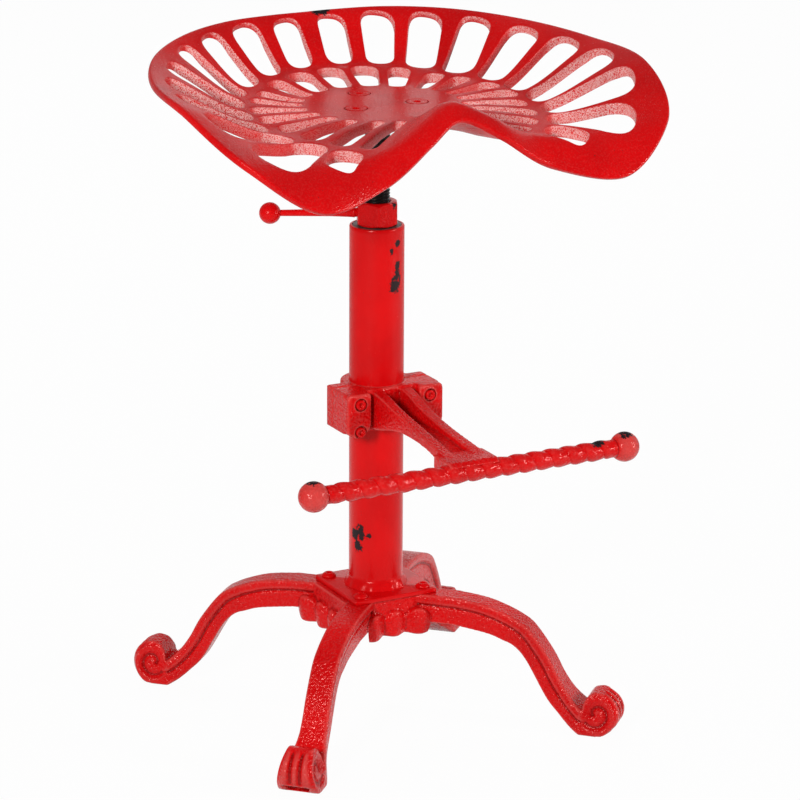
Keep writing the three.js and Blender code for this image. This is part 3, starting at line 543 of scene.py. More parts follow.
# from the pommel round one side to the back: forward, sideways, rim, crest, dip, the crest's
# start and full, the dip's start and full
RIM_KNOTS = np.array([
    [0.839, 0, 0.277, 0.51, 0, 0.22, 0.9, 0.3, 0.65],
    [0.896, 0.159, -0.03, 0.3, 0, 0.25, 0.9, 0.3, 0.65],
    [0.933, 0.362, -0.56, -0.08, -0.05, 0.5, 0.9, 0.3, 0.65],
    [1, 0.651, -0.76, -0.28, -0.12, 0.6, 0.95, 0.3, 0.65],
    [0.845, 0.901, -0.03, -0.05, -0.12, 0.55, 1.03, 0.3, 0.65],
    [0.44, 1, 0.579, 0.579, -0.1, 0.52, 1.03, 0.3, 0.65],
    [0, 0.961, 0.711, 0.711, 0.02, 0.58, 1.03, 0.3, 0.65],
    [-0.355, 0.82, 0.833, 0.833, 0.08, 0.59, 1.03, 0.38, 0.68],
    [-0.601, 0.6, 0.947, 0.947, 0.12, 0.684, 1.03, 0.46, 0.72],
    [-0.746, 0.358, 0.991, 0.991, 0.17, 0.71, 1.03, 0.5, 0.74],
    [-0.788, 0.138, 1, 1, 0.18, 0.74, 1.03, 0.52, 0.75],
    [-0.788, 0, 1, 1, 0.18, 0.74, 1.03, 0.52, 0.75],
])
MIRROR = np.array([1, -1, 1, 1, 1, 1, 1, 1, 1])
ALL_KNOTS = np.vstack([RIM_KNOTS, RIM_KNOTS[1:-1][::-1] * MIRROR])
RIM_CURVE = np.stack([
    ALL_KNOTS[:, 1] * SEAT_HALF_WIDTH, -ALL_KNOTS[:, 0] * SEAT_FORWARD, ALL_KNOTS[:, 2] * RIM_RISE
], -1)
CREST_CURVE = np.stack([ALL_KNOTS[:, 3] * RIM_RISE, ALL_KNOTS[:, 5], ALL_KNOTS[:, 6]], -1)
DIP_CURVE = np.stack([ALL_KNOTS[:, 4] * RIM_RISE, ALL_KNOTS[:, 7], ALL_KNOTS[:, 8]], -1)


def closed_curve(knots, share):
    """A closed centripetal Catmull-Rom curve: spans as long as the root of their knots' distance."""
    count = len(knots)
    place = (count * np.asarray(share, float)) % count
    first = np.floor(place).astype(int)
    t = (place - first)[..., None]
    a, b, c, d = (knots[(first + k) % count] for k in (-1, 0, 1, 2))

    def span(start, end):
        return np.sum((start - end) ** 2, -1)[..., None] ** 0.25
    before, along, after = span(a, b), span(b, c), span(c, d)
    along = np.where(along < 1e-4, 1, along)
    before = np.where(before < 1e-4, along, before)
    after = np.where(after < 1e-4, along, after)
    slope_in = ((b - a) / before - (c - a) / (before + along) + (c - b) / along) * along
    slope_out = ((c - b) / along - (d - b) / (along + after) + (d - c) / after) * along
    return (b + slope_in * t + (3 * (c - b) - 2 * slope_in - slope_out) * t ** 2
            + (2 * (b - c) + slope_in + slope_out) * t ** 3)


def seat_point(share, place):
    """The seat's top: share of the way out to the rim, and place round the rim from the pommel."""
    share, place = np.broadcast_arrays(np.asarray(share, float), np.asarray(place, float))
    rim = closed_curve(RIM_CURVE, place)
    crest = closed_curve(CREST_CURVE, place)
    dip = closed_curve(DIP_CURVE, place)
    climb = (crest[..., 0] - dip[..., 0]) * ease(share, crest[..., 1], crest[..., 2])
    roll = np.maximum(share - 0.78, 0) / 0.22
    sunk = dip[..., 0] * ease(share, dip[..., 1], dip[..., 2])
    height = sunk + climb - (crest[..., 0] - rim[..., 2]) * roll ** 2
    return np.stack([
        rim[..., 0] * share, -SPOKE_CENTRE + (rim[..., 1] + SPOKE_CENTRE) * share, PAN_HEIGHT + height
    ], -1)


HALF_ROUND = np.linspace(0, 0.5, 2401)
HALF_RIM = closed_curve(RIM_CURVE, HALF_ROUND)
RIM_DIRECTIONS = np.arctan2(HALF_RIM[:, 0], -HALF_RIM[:, 1] - SPOKE_CENTRE)
RIM_DIRECTIONS[[0, -1]] = 0, math.pi
RIM_REACHES = np.hypot(HALF_RIM[:, 0], HALF_RIM[:, 1] + SPOKE_CENTRE)


def seat_height(x, y):
    """Height of the seat's top over a place in plan, and its share of the way to the rim."""
    direction = np.arctan2(np.abs(x), -y - SPOKE_CENTRE)
    share = np.hypot(x, y + SPOKE_CENTRE) / np.interp(direction, RIM_DIRECTIONS, RIM_REACHES)
    return seat_point(share, np.interp(direction, RIM_DIRECTIONS, HALF_ROUND))[..., 2], share


def seat_layers(places):
    """Top points over places in plan, and the way from each down to the seat's underside.

    The way is straight down inside the seat and square to the surface near the rim."""
    x, y = places.T
    height, share = seat_height(x, y)
    step = 0.4
    lean_x = (seat_height(x + step, y)[0] - seat_height(x - step, y)[0]) / (2 * step)
    lean_y = (seat_height(x, y + step)[0] - seat_height(x, y - step)[0]) / (2 * step)
    slant = np.sqrt(1 + lean_x ** 2 + lean_y ** 2)
    square = np.stack([-lean_x, -lean_y, np.ones_like(x)], -1) / slant[:, None]
    away = np.hypot(x, y)
    thicker = 3 * ease(away, 55, 66) + 1.4 * ease(away, 105, 125)
    deep = SEAT_THICKNESS + thicker * (1 - ease(share, 0.89, 0.955))
    straight = np.stack([0 * x, 0 * x, deep], -1)
    near_rim = ease(share, 0.93, 0.985)[:, None]
    down = near_rim * -SEAT_THICKNESS * square - (1 - near_rim) * straight
    return np.stack([x, y, height], -1), down


# Every slot lies along a spoke: where it starts and ends and how far to the spoke's back side it
# lies there, then its inner and outer width, in millimetres from the middle of the spokes. The
# spokes run from the very back round to the pommel; the outer slots lie between the inner ones.
OUTER_SLOTS = [
    (149.2, -0.9, 185.6, -1.1, 26.3, 27.3), (147.4, -0.8, 191.8, -1.0, 26.9, 31.7),
    (144.3, 0, 196, 0, 28.8, 31.3), (140.7, 0.6, 201.6, 0.9, 31.3, 30.8),
    (136.8, 0.5, 206.1, 0.7, 27.9, 33.1), (133.9, 2.3, 211.8, 3.7, 27.6, 35.9),
    (133.9, 4, 217.9, 6.5, 31.7, 38.6), (133.7, 4.7, 220, 7.7, 35, 39.1),
    (134.1, 4.4, 214.6, 3.3, 37.7, 51.4), (138.6, 3.9, 177.7, 4.1, 29.6, 27.0),
]
INNER_SLOTS = [
    (102, 0, 142.5, 0, 19, 25), (100.5, 0, 141.6, 0, 18.5, 25), (96, 2, 139, 0, 15, 21),
    (90.6, 4.1, 133.5, -2.0, 13, 18), (86.9, 9, 133, 3.4, 11.5, 18), (79.9, 12, 133.2, 2.5, 12, 20.5),
    (71.4, 10.5, 131, 6, 12.5, 20), (64.2, 7, 125.5, 8, 12.5, 20.5), (58.2, 3.8, 126.8, 3, 12.5, 24),
    (50, -5.0, 128, 2.6, 12.5, 18.5), (46, -11, 128, 8, 11, 14.5),
]


def slot_outline(direction, start, start_aside, end, end_aside, inner_width, outer_width):
    """A slot along a spoke, drawn on the dished surface, with rounded ends of its own width."""
    reach = np.interp(abs(direction), RIM_DIRECTIONS, RIM_REACHES)
    place = np.interp(abs(direction), RIM_DIRECTIONS, HALF_ROUND)
    distance = np.linspace(start, end, 61)
    height = seat_point(distance / reach, place)[:, 2]
    length = np.r_[0, np.cumsum(np.hypot(np.diff(distance), np.diff(height)))]
    total = length[-1]
    angle = np.linspace(-math.pi / 2, math.pi / 2, 17)
    bent_cos = np.abs(np.cos(angle)) ** 0.8
    bent_sin = np.sign(np.sin(angle)) * np.abs(np.sin(angle)) ** 0.8
    outline = []
    for width, side in ((outer_width, 1), (inner_width, -1)):
        radius = min(width, total) / 2
        middle = total - radius if side > 0 else radius
        along = np.interp(middle + side * radius * bent_cos, length, distance)
        aside = side * width / 2 * bent_sin
        aside += np.interp(along, [start, end], [start_aside, end_aside])
        outline.append(np.stack([
            along * math.sin(direction) + aside * math.cos(direction),
            -SPOKE_CENTRE - along * math.cos(direction) + aside * math.sin(direction),
        ], -1))
    outline = np.vstack(outline)
    around = np.hypot(*np.diff(np.vstack([outline, outline[:1]]), axis=0).T).sum()
    return evenly(np.vstack([outline, outline[:1]]), max(24, int(around / 2.1)))[:-1]


def seat_slots():
    """Outlines of all the slots in plan: a pair for each row of the tables, one at the very back."""
    outlines = []
    for table, offset in ((OUTER_SLOTS, 0.5), (INNER_SLOTS, 0)):
        for i, row in enumerate(table):
            outline = slot_outline(math.pi - (i + offset) * TURN / 25, *row)
            outlines += [outline, outline * (-1, 1)] if i or offset else [outline]
    return outlines


def outward(outline):
    """Unit vectors pointing out of a closed outline."""
    along = np.roll(outline, -1, 0) - np.roll(outline, 1, 0)
    along /= np.hypot(*along.T)[:, None]
    area = np.sum(outline[:, 0] * np.roll(outline[:, 1], -1) - outline[:, 1] * np.roll(outline[:, 0], -1))
    return np.stack([along[:, 1], -along[:, 0]], -1) * np.sign(area)


def inside(outline, places):
    """Which places lie inside an outline, by counting the edges to one side of them."""
    x, y = places[:, :1], places[:, 1:]
    x0, y0 = outline.T
    x1, y1 = np.roll(outline, -1, 0).T
    with np.errstate(divide="ignore", invalid="ignore"):
        crossing = ((y0 > y) != (y1 > y)) & (x < (x1 - x0) * (y - y0) / (y1 - y0) + x0)
    return crossing.sum(1) % 2 == 1


SCREW_ANGLES = [TURN * i / 3 for i in range(3)]
SCREW_SPOTS = [
    (SEAT_SCREW_CIRCLE * math.sin(angle), SEAT_SCREW_CIRCLE * math.cos(angle)) for angle in SCREW_ANGLES
]


def nearest(places, others, chunk=2000):
    """Each place's distance to the nearest of the others."""
    found = []
    for i in range(0, len(places), chunk):
        part = places[i:i + chunk]
        found.append(np.sqrt(((part[:, None] - others[None]) ** 2).sum(-1).min(1)))
    return np.concatenate(found)


def seat_body():
    """The seat casting: a skin over the plan less its openings, a like one beneath, and rounded walls.

    Each opening's edge is a quarter round from the top, a straight wall, and a quarter round to the
    underside; the rim's is a squared half round: up = cos ** 0.6, out = sin ** 0.6."""
    slots = seat_slots()
    holes = [arc(x, y, SEAT_SCREW_HEAD + 0.7, 0, TURN, 40)[:-1] for x, y in SCREW_SPOTS]
    openings = []
    for i, outline in enumerate(slots):
        others = np.vstack(slots[:i] + slots[i + 1:])
        gap = nearest(outline, others).min()
        openings.append((outline, min(1.1, 0.42 * gap)))
    openings += [(outline, 0.35) for outline in holes]
    places = np.linspace(0, 1, 441)[:-1]
    step = 0.004
    way = seat_point(1 + step, places) - seat_point(1 - step, places)
    per_share = np.sqrt((way ** 2).sum(-1)) / (2 * step)
    half = SEAT_THICKNESS / 2
    edge = seat_point(1 - (half - RIM_BULGE) / per_share, places)
    way /= np.sqrt((way ** 2).sum(-1))[:, None]
    loops = [edge[:, :2]] + [outline + outward(outline) * radius for outline, radius in openings]
    marks = np.vstack(loops)
    pitch = 3.7
    across = np.arange(-SEAT_HALF_WIDTH, SEAT_HALF_WIDTH, pitch)
    deep = np.arange(-SEAT_FORWARD - 10, SEAT_FORWARD, pitch * 0.866)
    grid = np.stack(np.meshgrid(across, deep), -1)
    grid[1::2, :, 0] += pitch / 2
    grid = grid.reshape(-1, 2)
    grid = grid[inside(loops[0], grid)]
    grid = grid[nearest(grid, marks) > pitch * 0.45]
    given = np.vstack([marks, grid])
    edges, start, rings = [], 0, []
    for loop in loops:
        ring = np.arange(start, start + len(loop))
        rings.append(ring)
        edges += np.stack([ring, np.roll(ring, -1)], -1).tolist()
        start += len(loop)
    found = delaunay_2d_cdt([Vector(place) for place in given.tolist()], edges, [], 0, 1e-5, True)
    flat = np.array([list(place) for place in found[0]])
    where = np.zeros(len(given), int)
    for new, old in enumerate(found[3]):
        for index in old:
            where[index] = new
    triangles = np.array([list(face) for face in found[2]])
    middles = flat[triangles].mean(1)
    kept = inside(loops[0], middles)
    for loop in loops[1:]:
        near = np.abs(middles - loop.mean(0)).max(1) < 90
        kept[near] &= ~inside(loop, middles[near])
    triangles = triangles[kept]
    top, down = seat_layers(flat)
    count = len(flat)
    points = [top, top + down]
    faces = triangles.tolist() + (triangles[:, ::-1] + count).tolist()
    total = 2 * count

    def band(ring_list):
        for one, two in zip(ring_list, ring_list[1:]):
            faces.extend(np.stack([one, np.roll(one, -1), np.roll(two, -1), two], -1).tolist())

    # rim
    ring = where[rings[0]]
    middle = (top[ring] + (top + down)[ring]) / 2
    rise = top[ring] - middle
    row = [ring]
    for k in range(1, 12):
        angle = math.pi * k / 12
        up = math.copysign(abs(math.cos(angle)) ** 0.6, math.cos(angle))
        points.append(middle + rise * up + way * half * math.sin(angle) ** 0.6)
        row.append(np.arange(total, total + len(ring)))
        total += len(ring)
    band(row + [ring + count])
    # openings
    for (outline, radius), ring in zip(openings, rings[1:]):
        ring = where[ring]
        out = outward(outline)
        row = [ring]
        angles = np.array([0.25, 0.5, 0.75, 1]) * math.pi / 2
        settings = [(a, True) for a in angles] + [(a, False) for a in angles[::-1]]
        for angle, upper in settings:
            over, below = seat_layers(outline + out * radius * (1 - math.sin(angle)))
            deep = radius * (1 - math.cos(angle)) / SEAT_THICKNESS
            points.append(over + below * (deep if upper else 1 - deep))
            row.append(np.arange(total, total + len(ring)))
            total += len(ring)
        band(row + [ring + count])
    return np.vstack(points), faces


def painted_wall_sheen(points):
    """How much painted sheen each point of the slots' walls gets: a fifth on every wall, and all of it on
    the walls that face the key lamp to the left and front. It fades out within a millimetre of the wall."""
    slots = seat_slots()
    marks = np.vstack(slots)
    facing = -np.vstack([outward(outline) for outline in slots]) @ np.array([-0.8, -0.6])
    painted_sheen = np.zeros(len(points))
    for i in range(0, len(points), 2000):
        away = ((points[i:i + 2000, None, :2] - marks[None]) ** 2).sum(-1)
        close = away.argmin(1)
        toward_key_lamp = 0.2 + 0.8 * ease(facing[close], 0.3, 0.62)
        painted_sheen[i:i + 2000] = toward_key_lamp * (1 - ease(np.sqrt(away.min(1)), 0.2, 0.9))
    return painted_sheen


seat_chips = [
    (17, 151, PAN_HEIGHT + 55.5, 15, 8), (-205, 60, 622, 7, 6), (228, -60, 610, 7, 6),
    (60, 138, 640, 5, 4),
]
seat_points, seat_faces = seat_body()
# the seat's slot walls carry a painted sheen, strongest where they face the key lamp
finish_piece("seat_casting", seat_points, seat_faces, "seat", "cast_red", seat_red, ["seat_pan"],
             seat_chips, rough=painted_wall_sheen)


def socket_screw(head, rise, depth, across, shank, length, crown=1.0):
    """A screw on Z with its seat at height 0: a shank, a rounded head and a hexagon socket."""
    return rounded([
        (shank, -length, 0), (shank, -0.2, 0), (head, 0, 0), (head, rise * 0.45, 0),
        (head * crown, rise, 0), (across / 2 + 0.9, rise, 0.4), (across / 2, rise - 0.5, 1),
        (across / 2, rise - depth, 1), (across / 5, rise - depth - 0.2, 1),
    ], 0.7, 3)


for i, (x, y) in enumerate(SCREW_SPOTS):
    profile = rounded([
        (5, -15, 0), (5, -4.5, 0), (SEAT_SCREW_HEAD, 0, 0), (SEAT_SCREW_HEAD - 1.2, 0.25, 0),
        (3.7, 0.1, 0.4), (3, -0.4, 1), (3, -2.6, 1), (0.5, -2.8, 1),
    ], 0.4, 3)
    body = laid(turned(profile, 48), (x, y, PAN_HEIGHT), (0, 0, 1))
    finish_piece(f"seat_screw_head_{i + 1}", *body, "seat", "fastener_red", small_red,
                 [f"seat_screw_{i + 1}"])

flange_top = PAN_HEIGHT - SEAT_THICKNESS - 0.3
flange_profile = rounded([
    (12.1, flange_top), (FLANGE_RADIUS, flange_top), (FLANGE_RADIUS, flange_top - 6),
    (21, flange_top - 6), (20, flange_top - 18), (12.1, flange_top - 18),
], 1.4, 4, True)
finish_piece("seat_flange_turned", *turned(flange_profile, 96, True), "seat", "black_steel", black_steel,
             ["seat_flange"])

# ---------------------------------------------------------------- spindle, nut and column


def threaded_rod(low, high):
    """A rod whose radius dips once a pitch along its height and once a turn around it."""
    around = 40
    height = np.arange(low, high, THREAD_PITCH / 7)
    angle = np.arange(around) * TURN / around
    phase = (height[:, None] / THREAD_PITCH - angle[None] / TURN) % 1
    groove = np.clip(1.25 * (1 - np.abs(2 * phase - 1)) - 0.12, 0, 1)
    taper = np.minimum(height - low, height[-1] - height)[:, None]
    radius = np.minimum(SPINDLE_RADIUS - THREAD_DEPTH * groove, SPINDLE_RADIUS - 1.6 + taper)
    rows = np.stack([
        radius * np.cos(angle), radius * np.sin(angle), np.repeat(height[:, None], around, 1)
    ], -1)
    return skin(rows)


spindle_top = flange_top - 0.3
finish_piece("spindle_thread", *threaded_rod(spindle_top - 258, spindle_top), "spindle_lift", "black_steel",
             black_steel, ["spindle"], sharp=60)


def hexagon_nut(across, bottom, top, hole, chamfer, both_ends=True):
    """A nut's outside is the nearer of its hexagon and a cone at each end; its bore is plain."""
    around = 96
    angle = np.arange(around) * TURN / around
    flat = across / 2
    drop = np.array([0, 0.25, 0.5, 0.75, 1, 1.25, 1.5, 1.9]) * chamfer
    height = np.r_[bottom + drop, (top - drop)[::-1]]
    cone_top = flat * 0.97 + (top - height) * 1.5
    cone_bottom = flat * (0.97 if both_ends else 1.15) + (height - bottom) * 1.5
    cone = np.minimum(cone_top, cone_bottom)[:, None]
    outer = np.minimum(flat * hexagonal(angle)[None], cone)
    outer = np.minimum(outer, flat * 1.135)
    height = np.r_[height, top - 0.1, top - 1.0, bottom + 1.0, bottom + 0.1]
    plain = np.repeat(np.array([hole + 1.0, hole, hole, hole + 1.0])[:, None], around, 1)
    radius = np.vstack([outer, plain])
    rows = np.stack([
        radius * np.cos(angle), radius * np.sin(angle), np.repeat(height[:, None], around, 1)
    ], -1)
    return skin(rows, True)


nut_points, nut_faces = hexagon_nut(NUT_ACROSS, NUT_BOTTOM, NUT_TOP, SPINDLE_RADIUS + 0.05, 1.6)
nut_points = spun(nut_points, LEVER_TURN)
finish_piece("lock_nut_hexagon", nut_points, nut_faces, "lock_nut", "smooth_red", small_red, ["lock_nut"],
             [(9, -17, NUT_TOP - 1, 4, 3)])

lever_way = (math.sin(LEVER_TURN), -math.cos(LEVER_TURN), 0)
lever_height = (NUT_BOTTOM + NUT_TOP) / 2
lever_start = NUT_ACROSS / 2 - 5
lever = turned(rounded([
    (LEVER_ROOT, 0), (LEVER_ROOT, 7), (LEVER_ROOT + 0.7, 7.5), (LEVER_ROOT + 0.3, 9),
    (LEVER_TIP + 0.6, 30), (LEVER_TIP, LEVER_REACH - lever_start - 8),
    (LEVER_TIP, LEVER_REACH - lever_start),
], 1.0, 3), 32)
lever = laid(lever, (lever_way[0] * lever_start, lever_way[1] * lever_start, lever_height), lever_way)
finish_piece("lock_lever_bar", *lever, "lock_nut", "smooth_red", small_red, ["lock_lever"])
swell = np.linspace(0.02, math.pi - 0.02, 40)
ball = turned(np.stack([LEVER_BALL * np.sin(swell), -LEVER_BALL * np.cos(swell)], -1), 56)
ball = laid(ball, (lever_way[0] * LEVER_REACH, lever_way[1] * LEVER_REACH, lever_height), lever_way)
finish_piece("lock_ball_round", *ball, "lock_nut", "smooth_red", small_red, ["lock_ball"])


def column_body():
    """A tube, turned, whose weld bead swells and shrinks round its foot."""
    around = 120
    angle = np.arange(around) * TURN / around
    bore = COLUMN_RADIUS - COLUMN_WALL
    outside = np.arange(PLATE_TOP + 8, COLUMN_TOP - 2, 3.0)
    profile = np.vstack([
        [(bore, PLATE_TOP)],
        [(COLUMN_RADIUS + 4.6, PLATE_TOP)],
        [(COLUMN_RADIUS + 4.0, PLATE_TOP + 2.2)],
        [(COLUMN_RADIUS + 2.6, PLATE_TOP + 4.6)],
        [(COLUMN_RADIUS + 0.9, PLATE_TOP + 6.6)],
        np.stack([np.full(len(outside), COLUMN_RADIUS), outside], -1),
        [(COLUMN_RADIUS, COLUMN_TOP - 1.2), (COLUMN_RADIUS - 0.4, COLUMN_TOP - 0.3)],
        [(COLUMN_RADIUS - 1.2, COLUMN_TOP), (bore, COLUMN_TOP)],
    ])
    radius = np.repeat(profile[:, :1], around, 1)
    height = np.repeat(profile[:, 1:], around, 1)
    bead = np.exp(-((profile[:, 1:] - PLATE_TOP - 2) / 3.0) ** 2) * (profile[:, :1] > COLUMN_RADIUS + 0.1)
    lumps = 0.55 * np.sin(angle * 11) + 0.4 * np.sin(angle * 17 + 1.3) + 0.35 * np.sin(angle * 5 + 0.4)
    radius = radius + bead * (lumps - 0.6)
    height = height + bead * 0.9 * np.sin(angle * 13 + 2) * (profile[:, 1:] > PLATE_TOP + 1)
    rows = np.stack([radius * np.cos(angle), radius * np.sin(angle), height], -1)
    return skin(rows, True)


column_chips = [
    (6.6, -24.5, 417.5, 10, 9), (9.1, -23.7, 428, 6, 8), (9.1, -23.7, 437, 5, 7), (4.2, -25.1, 424, 4, 4),
    (9.1, -23.7, 457.5, 5, 5.5), (2, -25.3, 451, 3, 3), (-24.7, -5.8, 176, 7, 9), (-23.6, -9.5, 166, 7, 9),
    (-22.6, -11.6, 182.5, 7, 6), (-22.1, -12.6, 175, 5, 8), (-16.9, -18.9, 177, 4.5, 4.5),
]
finish_piece("column_painted", *column_body(), "stand", "smooth_red", tube_red, ["column_tube"],
             column_chips)
bush = turned(rounded([
    (12.05, COLUMN_TOP - 30), (22.6, COLUMN_TOP - 30), (22.6, COLUMN_TOP), (12.05, COLUMN_TOP),
], 0.5, 2, True), 64, True)
finish_piece("column_bush_ring", *bush, "stand", "bush_steel", bush_steel, ["column_bush"])

# ---------------------------------------------------------------- base


def rounded_plate(side, low, high, corner, edge):
    """A square with round corners, carried in steps round the plate's softened edges."""
    half = side / 2
    outline = rounded([(half, half), (-half, half), (-half, -half), (half, -half)], corner, 5, True)
    outline = evenly(np.vstack([outline, outline[:1]]), 160)[:-1]
    out = outward(outline)
    steps = np.linspace(0, math.pi / 2, 4)
    rows = []
    for level, sign in ((low, -1), (high, 1)):
        ring = []
        for step in steps:
            lift = np.full(len(outline), level - sign * edge * (1 - math.cos(step)))
            ring.append(np.c_[outline - out * edge * (1 - math.sin(step)), lift])
        rows += ring if sign < 0 else ring[::-1]
    return skin(np.array(rows))


finish_piece("base_plate_sheet", *rounded_plate(PLATE_SIDE, LEG_TOP, PLATE_TOP, 3, 0.9), "stand",
             "smooth_red", tube_red, ["base_plate"])
CORNERS = [TURN / 8 + TURN / 4 * i for i in range(4)]
for i, corner in enumerate(CORNERS):
    screw = turned(socket_screw(6.8, 3.9, 2.2, 4.6, 3, 15.5, 0.62), 48)
    place = (BASE_SCREW_CIRCLE * math.cos(corner), BASE_SCREW_CIRCLE * math.sin(corner), PLATE_TOP)
    body = laid(screw, place, (0, 0, 1))
    finish_piece(f"base_screw_head_{i + 1}", *body, "stand", "fastener_red", small_red,
                 [f"base_screw_{i + 1}"])

LEG_SCALE = np.array([LEG_SPAN, LEG_TOP])
TOP_EDGE = np.array([
    (0.33, 1), (0.43, 0.977), (0.5, 0.942), (0.58, 0.877), (0.64, 0.793), (0.715, 0.59),
    (0.762, 0.415), (0.81, 0.28), (0.858, 0.19),
]) * LEG_SCALE
CURL = np.array([(0.858, 0.19), (0.863, 0.26), (0.884, 0.325), (0.914, 0.344)]) * LEG_SCALE
UNDERSIDE = np.array([
    (0.845, 0), (0.803, 0.055), (0.762, 0.13), (0.708, 0.25), (0.625, 0.54), (0.575, 0.65), (0.526, 0.692),
    (0.464, 0.732), (0.33, 0.771),
]) * LEG_SCALE
SCROLL_REACH = LEG_SPAN - SCROLL_RADIUS


def leg_body():
    """A leg pointing forward: its side view carried across, then bent by formula.

    Its half width widens into the foot. A rolled band follows the top edge down to the notch, with a
    groove under it, a roll and a hollow lie on the scroll's sides, and two grooves and a recess on
    its front."""
    top_edge = curve_through(TOP_EDGE, 90)
    outline = np.vstack([
        [(LEG_ROOT, LEG_TOP)], top_edge, curve_through(CURL, 12)[1:-1],
        arc(SCROLL_REACH, SCROLL_RADIUS, SCROLL_RADIUS, math.pi / 2, -math.pi / 2, 40),
        curve_through(UNDERSIDE, 80), [(LEG_ROOT, LEG_TOP - LEG_ROOT_DEPTH)],
    ])
    points, faces = cast([prism(outline, -LEG_HALF, LEG_HALF, "across")], 0.85)
    x, reach, height = points[:, 0], -points[:, 1], points[:, 2]
    side = x / LEG_HALF
    low = 1 - np.clip(height / (2 * SCROLL_RADIUS), 0, 1)
    foot_width = FOOT_TOP_WIDTH + (FOOT_BOTTOM_WIDTH - FOOT_TOP_WIDTH) * low
    spread = ease(reach, UNDERSIDE[3][0], TOP_EDGE[-1][0])
    half = (2 * LEG_HALF + (foot_width - 2 * LEG_HALF) * spread) / 2
    side_view = np.stack([reach, height], -1)
    edge_line = np.vstack([[(LEG_ROOT, LEG_TOP)], top_edge])
    from_edge = nearest(side_view, evenly(edge_line, 240))
    face = ease(np.abs(side), 0.6, 0.97)
    band = np.sqrt(np.clip(1 - ((from_edge - 4.4) / 5.0) ** 2, 0, 1))
    groove = np.exp(-((from_edge - 10.2) / 1.15) ** 2)
    fade = 1 - ease(reach, TOP_EDGE[-1][0] - 3, TOP_EDGE[-1][0] + 4)
    relief = (2.1 * band - 2.0 * groove) * fade
    from_middle = np.hypot(reach - SCROLL_REACH, height - SCROLL_RADIUS) / SCROLL_RADIUS
    angle = np.arctan2(height - SCROLL_RADIUS, SCROLL_REACH - reach)
    roll = np.exp(-((from_middle - 0.72) / 0.2) ** 2)
    curl = 0.16 + 0.5 * ((angle + 0.6) % TURN) / TURN
    hollow = np.exp(-((from_middle - curl) / 0.13) ** 2) * (from_middle < 0.8)
    relief += (1.3 * roll - 2.6 * hollow) * ease(reach, SCROLL_REACH - 24, SCROLL_REACH - 6)
    new_x = side * half + np.sign(x) * relief * face
    # front of the scroll
    front = ease(reach, SCROLL_REACH + 4, SCROLL_REACH + 12) * ease(from_middle, 0.8, 0.97)
    wide = np.abs(new_x)
    cuts = 3.0 * np.exp(-((wide - 4.6) / 1.6) ** 2) * ease(height, 10, 14)
    ends = 3.0 * ease(wide / half, 0.72, 1.0)
    mouth = 14.0 * (1 - ease(wide, 8 + 0.35 * height, 9.6 + 0.35 * height))
    mouth = mouth * ease(height, 0.8, 2.4) * (1 - ease(height, 8.2, 9.6))
    inward = front * (cuts + ends + mouth)
    reach = reach - inward * np.clip((reach - SCROLL_REACH) / SCROLL_RADIUS, 0, 1)
    height = height - front * (cuts + ends) * np.clip((height - SCROLL_RADIUS) / SCROLL_RADIUS, 0, 1)
    return relaxed((np.stack([new_x, -reach, height], -1), faces), 3)


leg_points, leg_faces = leg_body()
leg_points[:, 2] = np.maximum(leg_points[:, 2] - leg_points[:, 2].min(), 0)
LEG_CHIPS = {3: [(-8, -172, 88, 7, 8)], 4: [(4, -125, 117, 7, 5)]}
for i, corner in enumerate(CORNERS):
    body = (spun(leg_points, corner + TURN / 4), leg_faces)
    chips = []
    for x, y, z, across, tall in LEG_CHIPS.get(i + 1, []):
        spot = spun(np.array([[x, y, z]], float), corner + TURN / 4)[0]
        chips.append((*spot, across, tall))
    finish_piece(f"leg_casting_{i + 1}", *body, "stand", "cast_red", cast_red, [f"leg_{i + 1}"], chips, 80,
                 painted_shading_reach=8)

# reach, half length and lobes of the skirt's long sides and its short ones
SKIRTS = [(52.5, 46.5, 4), (42.0, 34.0, 3)]


def skirt(reach, half_length, lobes, turn):
    """One side of the skirt: a path that bows out to the legs, with a rounded section carried along.

    The section swings in and out once a lobe, more at its crest than at its foot."""
    share = np.linspace(-1.04, 1.04, 120)
    wave = 0.5 - 0.5 * np.cos((share + 1) * math.pi * lobes)
    crisp = wave ** 0.6
    section = rounded([(-8, 14), (-0.5, 14), (1.2, 20), (0.2, 30), (-1.5, 38), (-8, 38)], 2.2, 4, True)
    inward, depth = section.T
    out = reach + 9.5 * share ** 2
    swing = ease(inward, -6, -2)[None] * (crisp[:, None] * 5.6 - 3.4)
    reachs = out[:, None] + inward[None] + swing
    foot = ease(depth, 30, 38)[None] * (1.2 - 1.2 * crisp[:, None])
    crest = (1 - ease(depth, 14, 22))[None] * (3.2 - 5.0 * crisp[:, None])
    height = LEG_TOP - depth[None] + foot - crest
    aside = (share * half_length)[:, None] + 0 * reachs
    c, s = math.cos(turn), math.sin(turn)
    rows = np.stack([reachs * c - aside * s, reachs * s + aside * c, height], -1)
    return skin(rows)


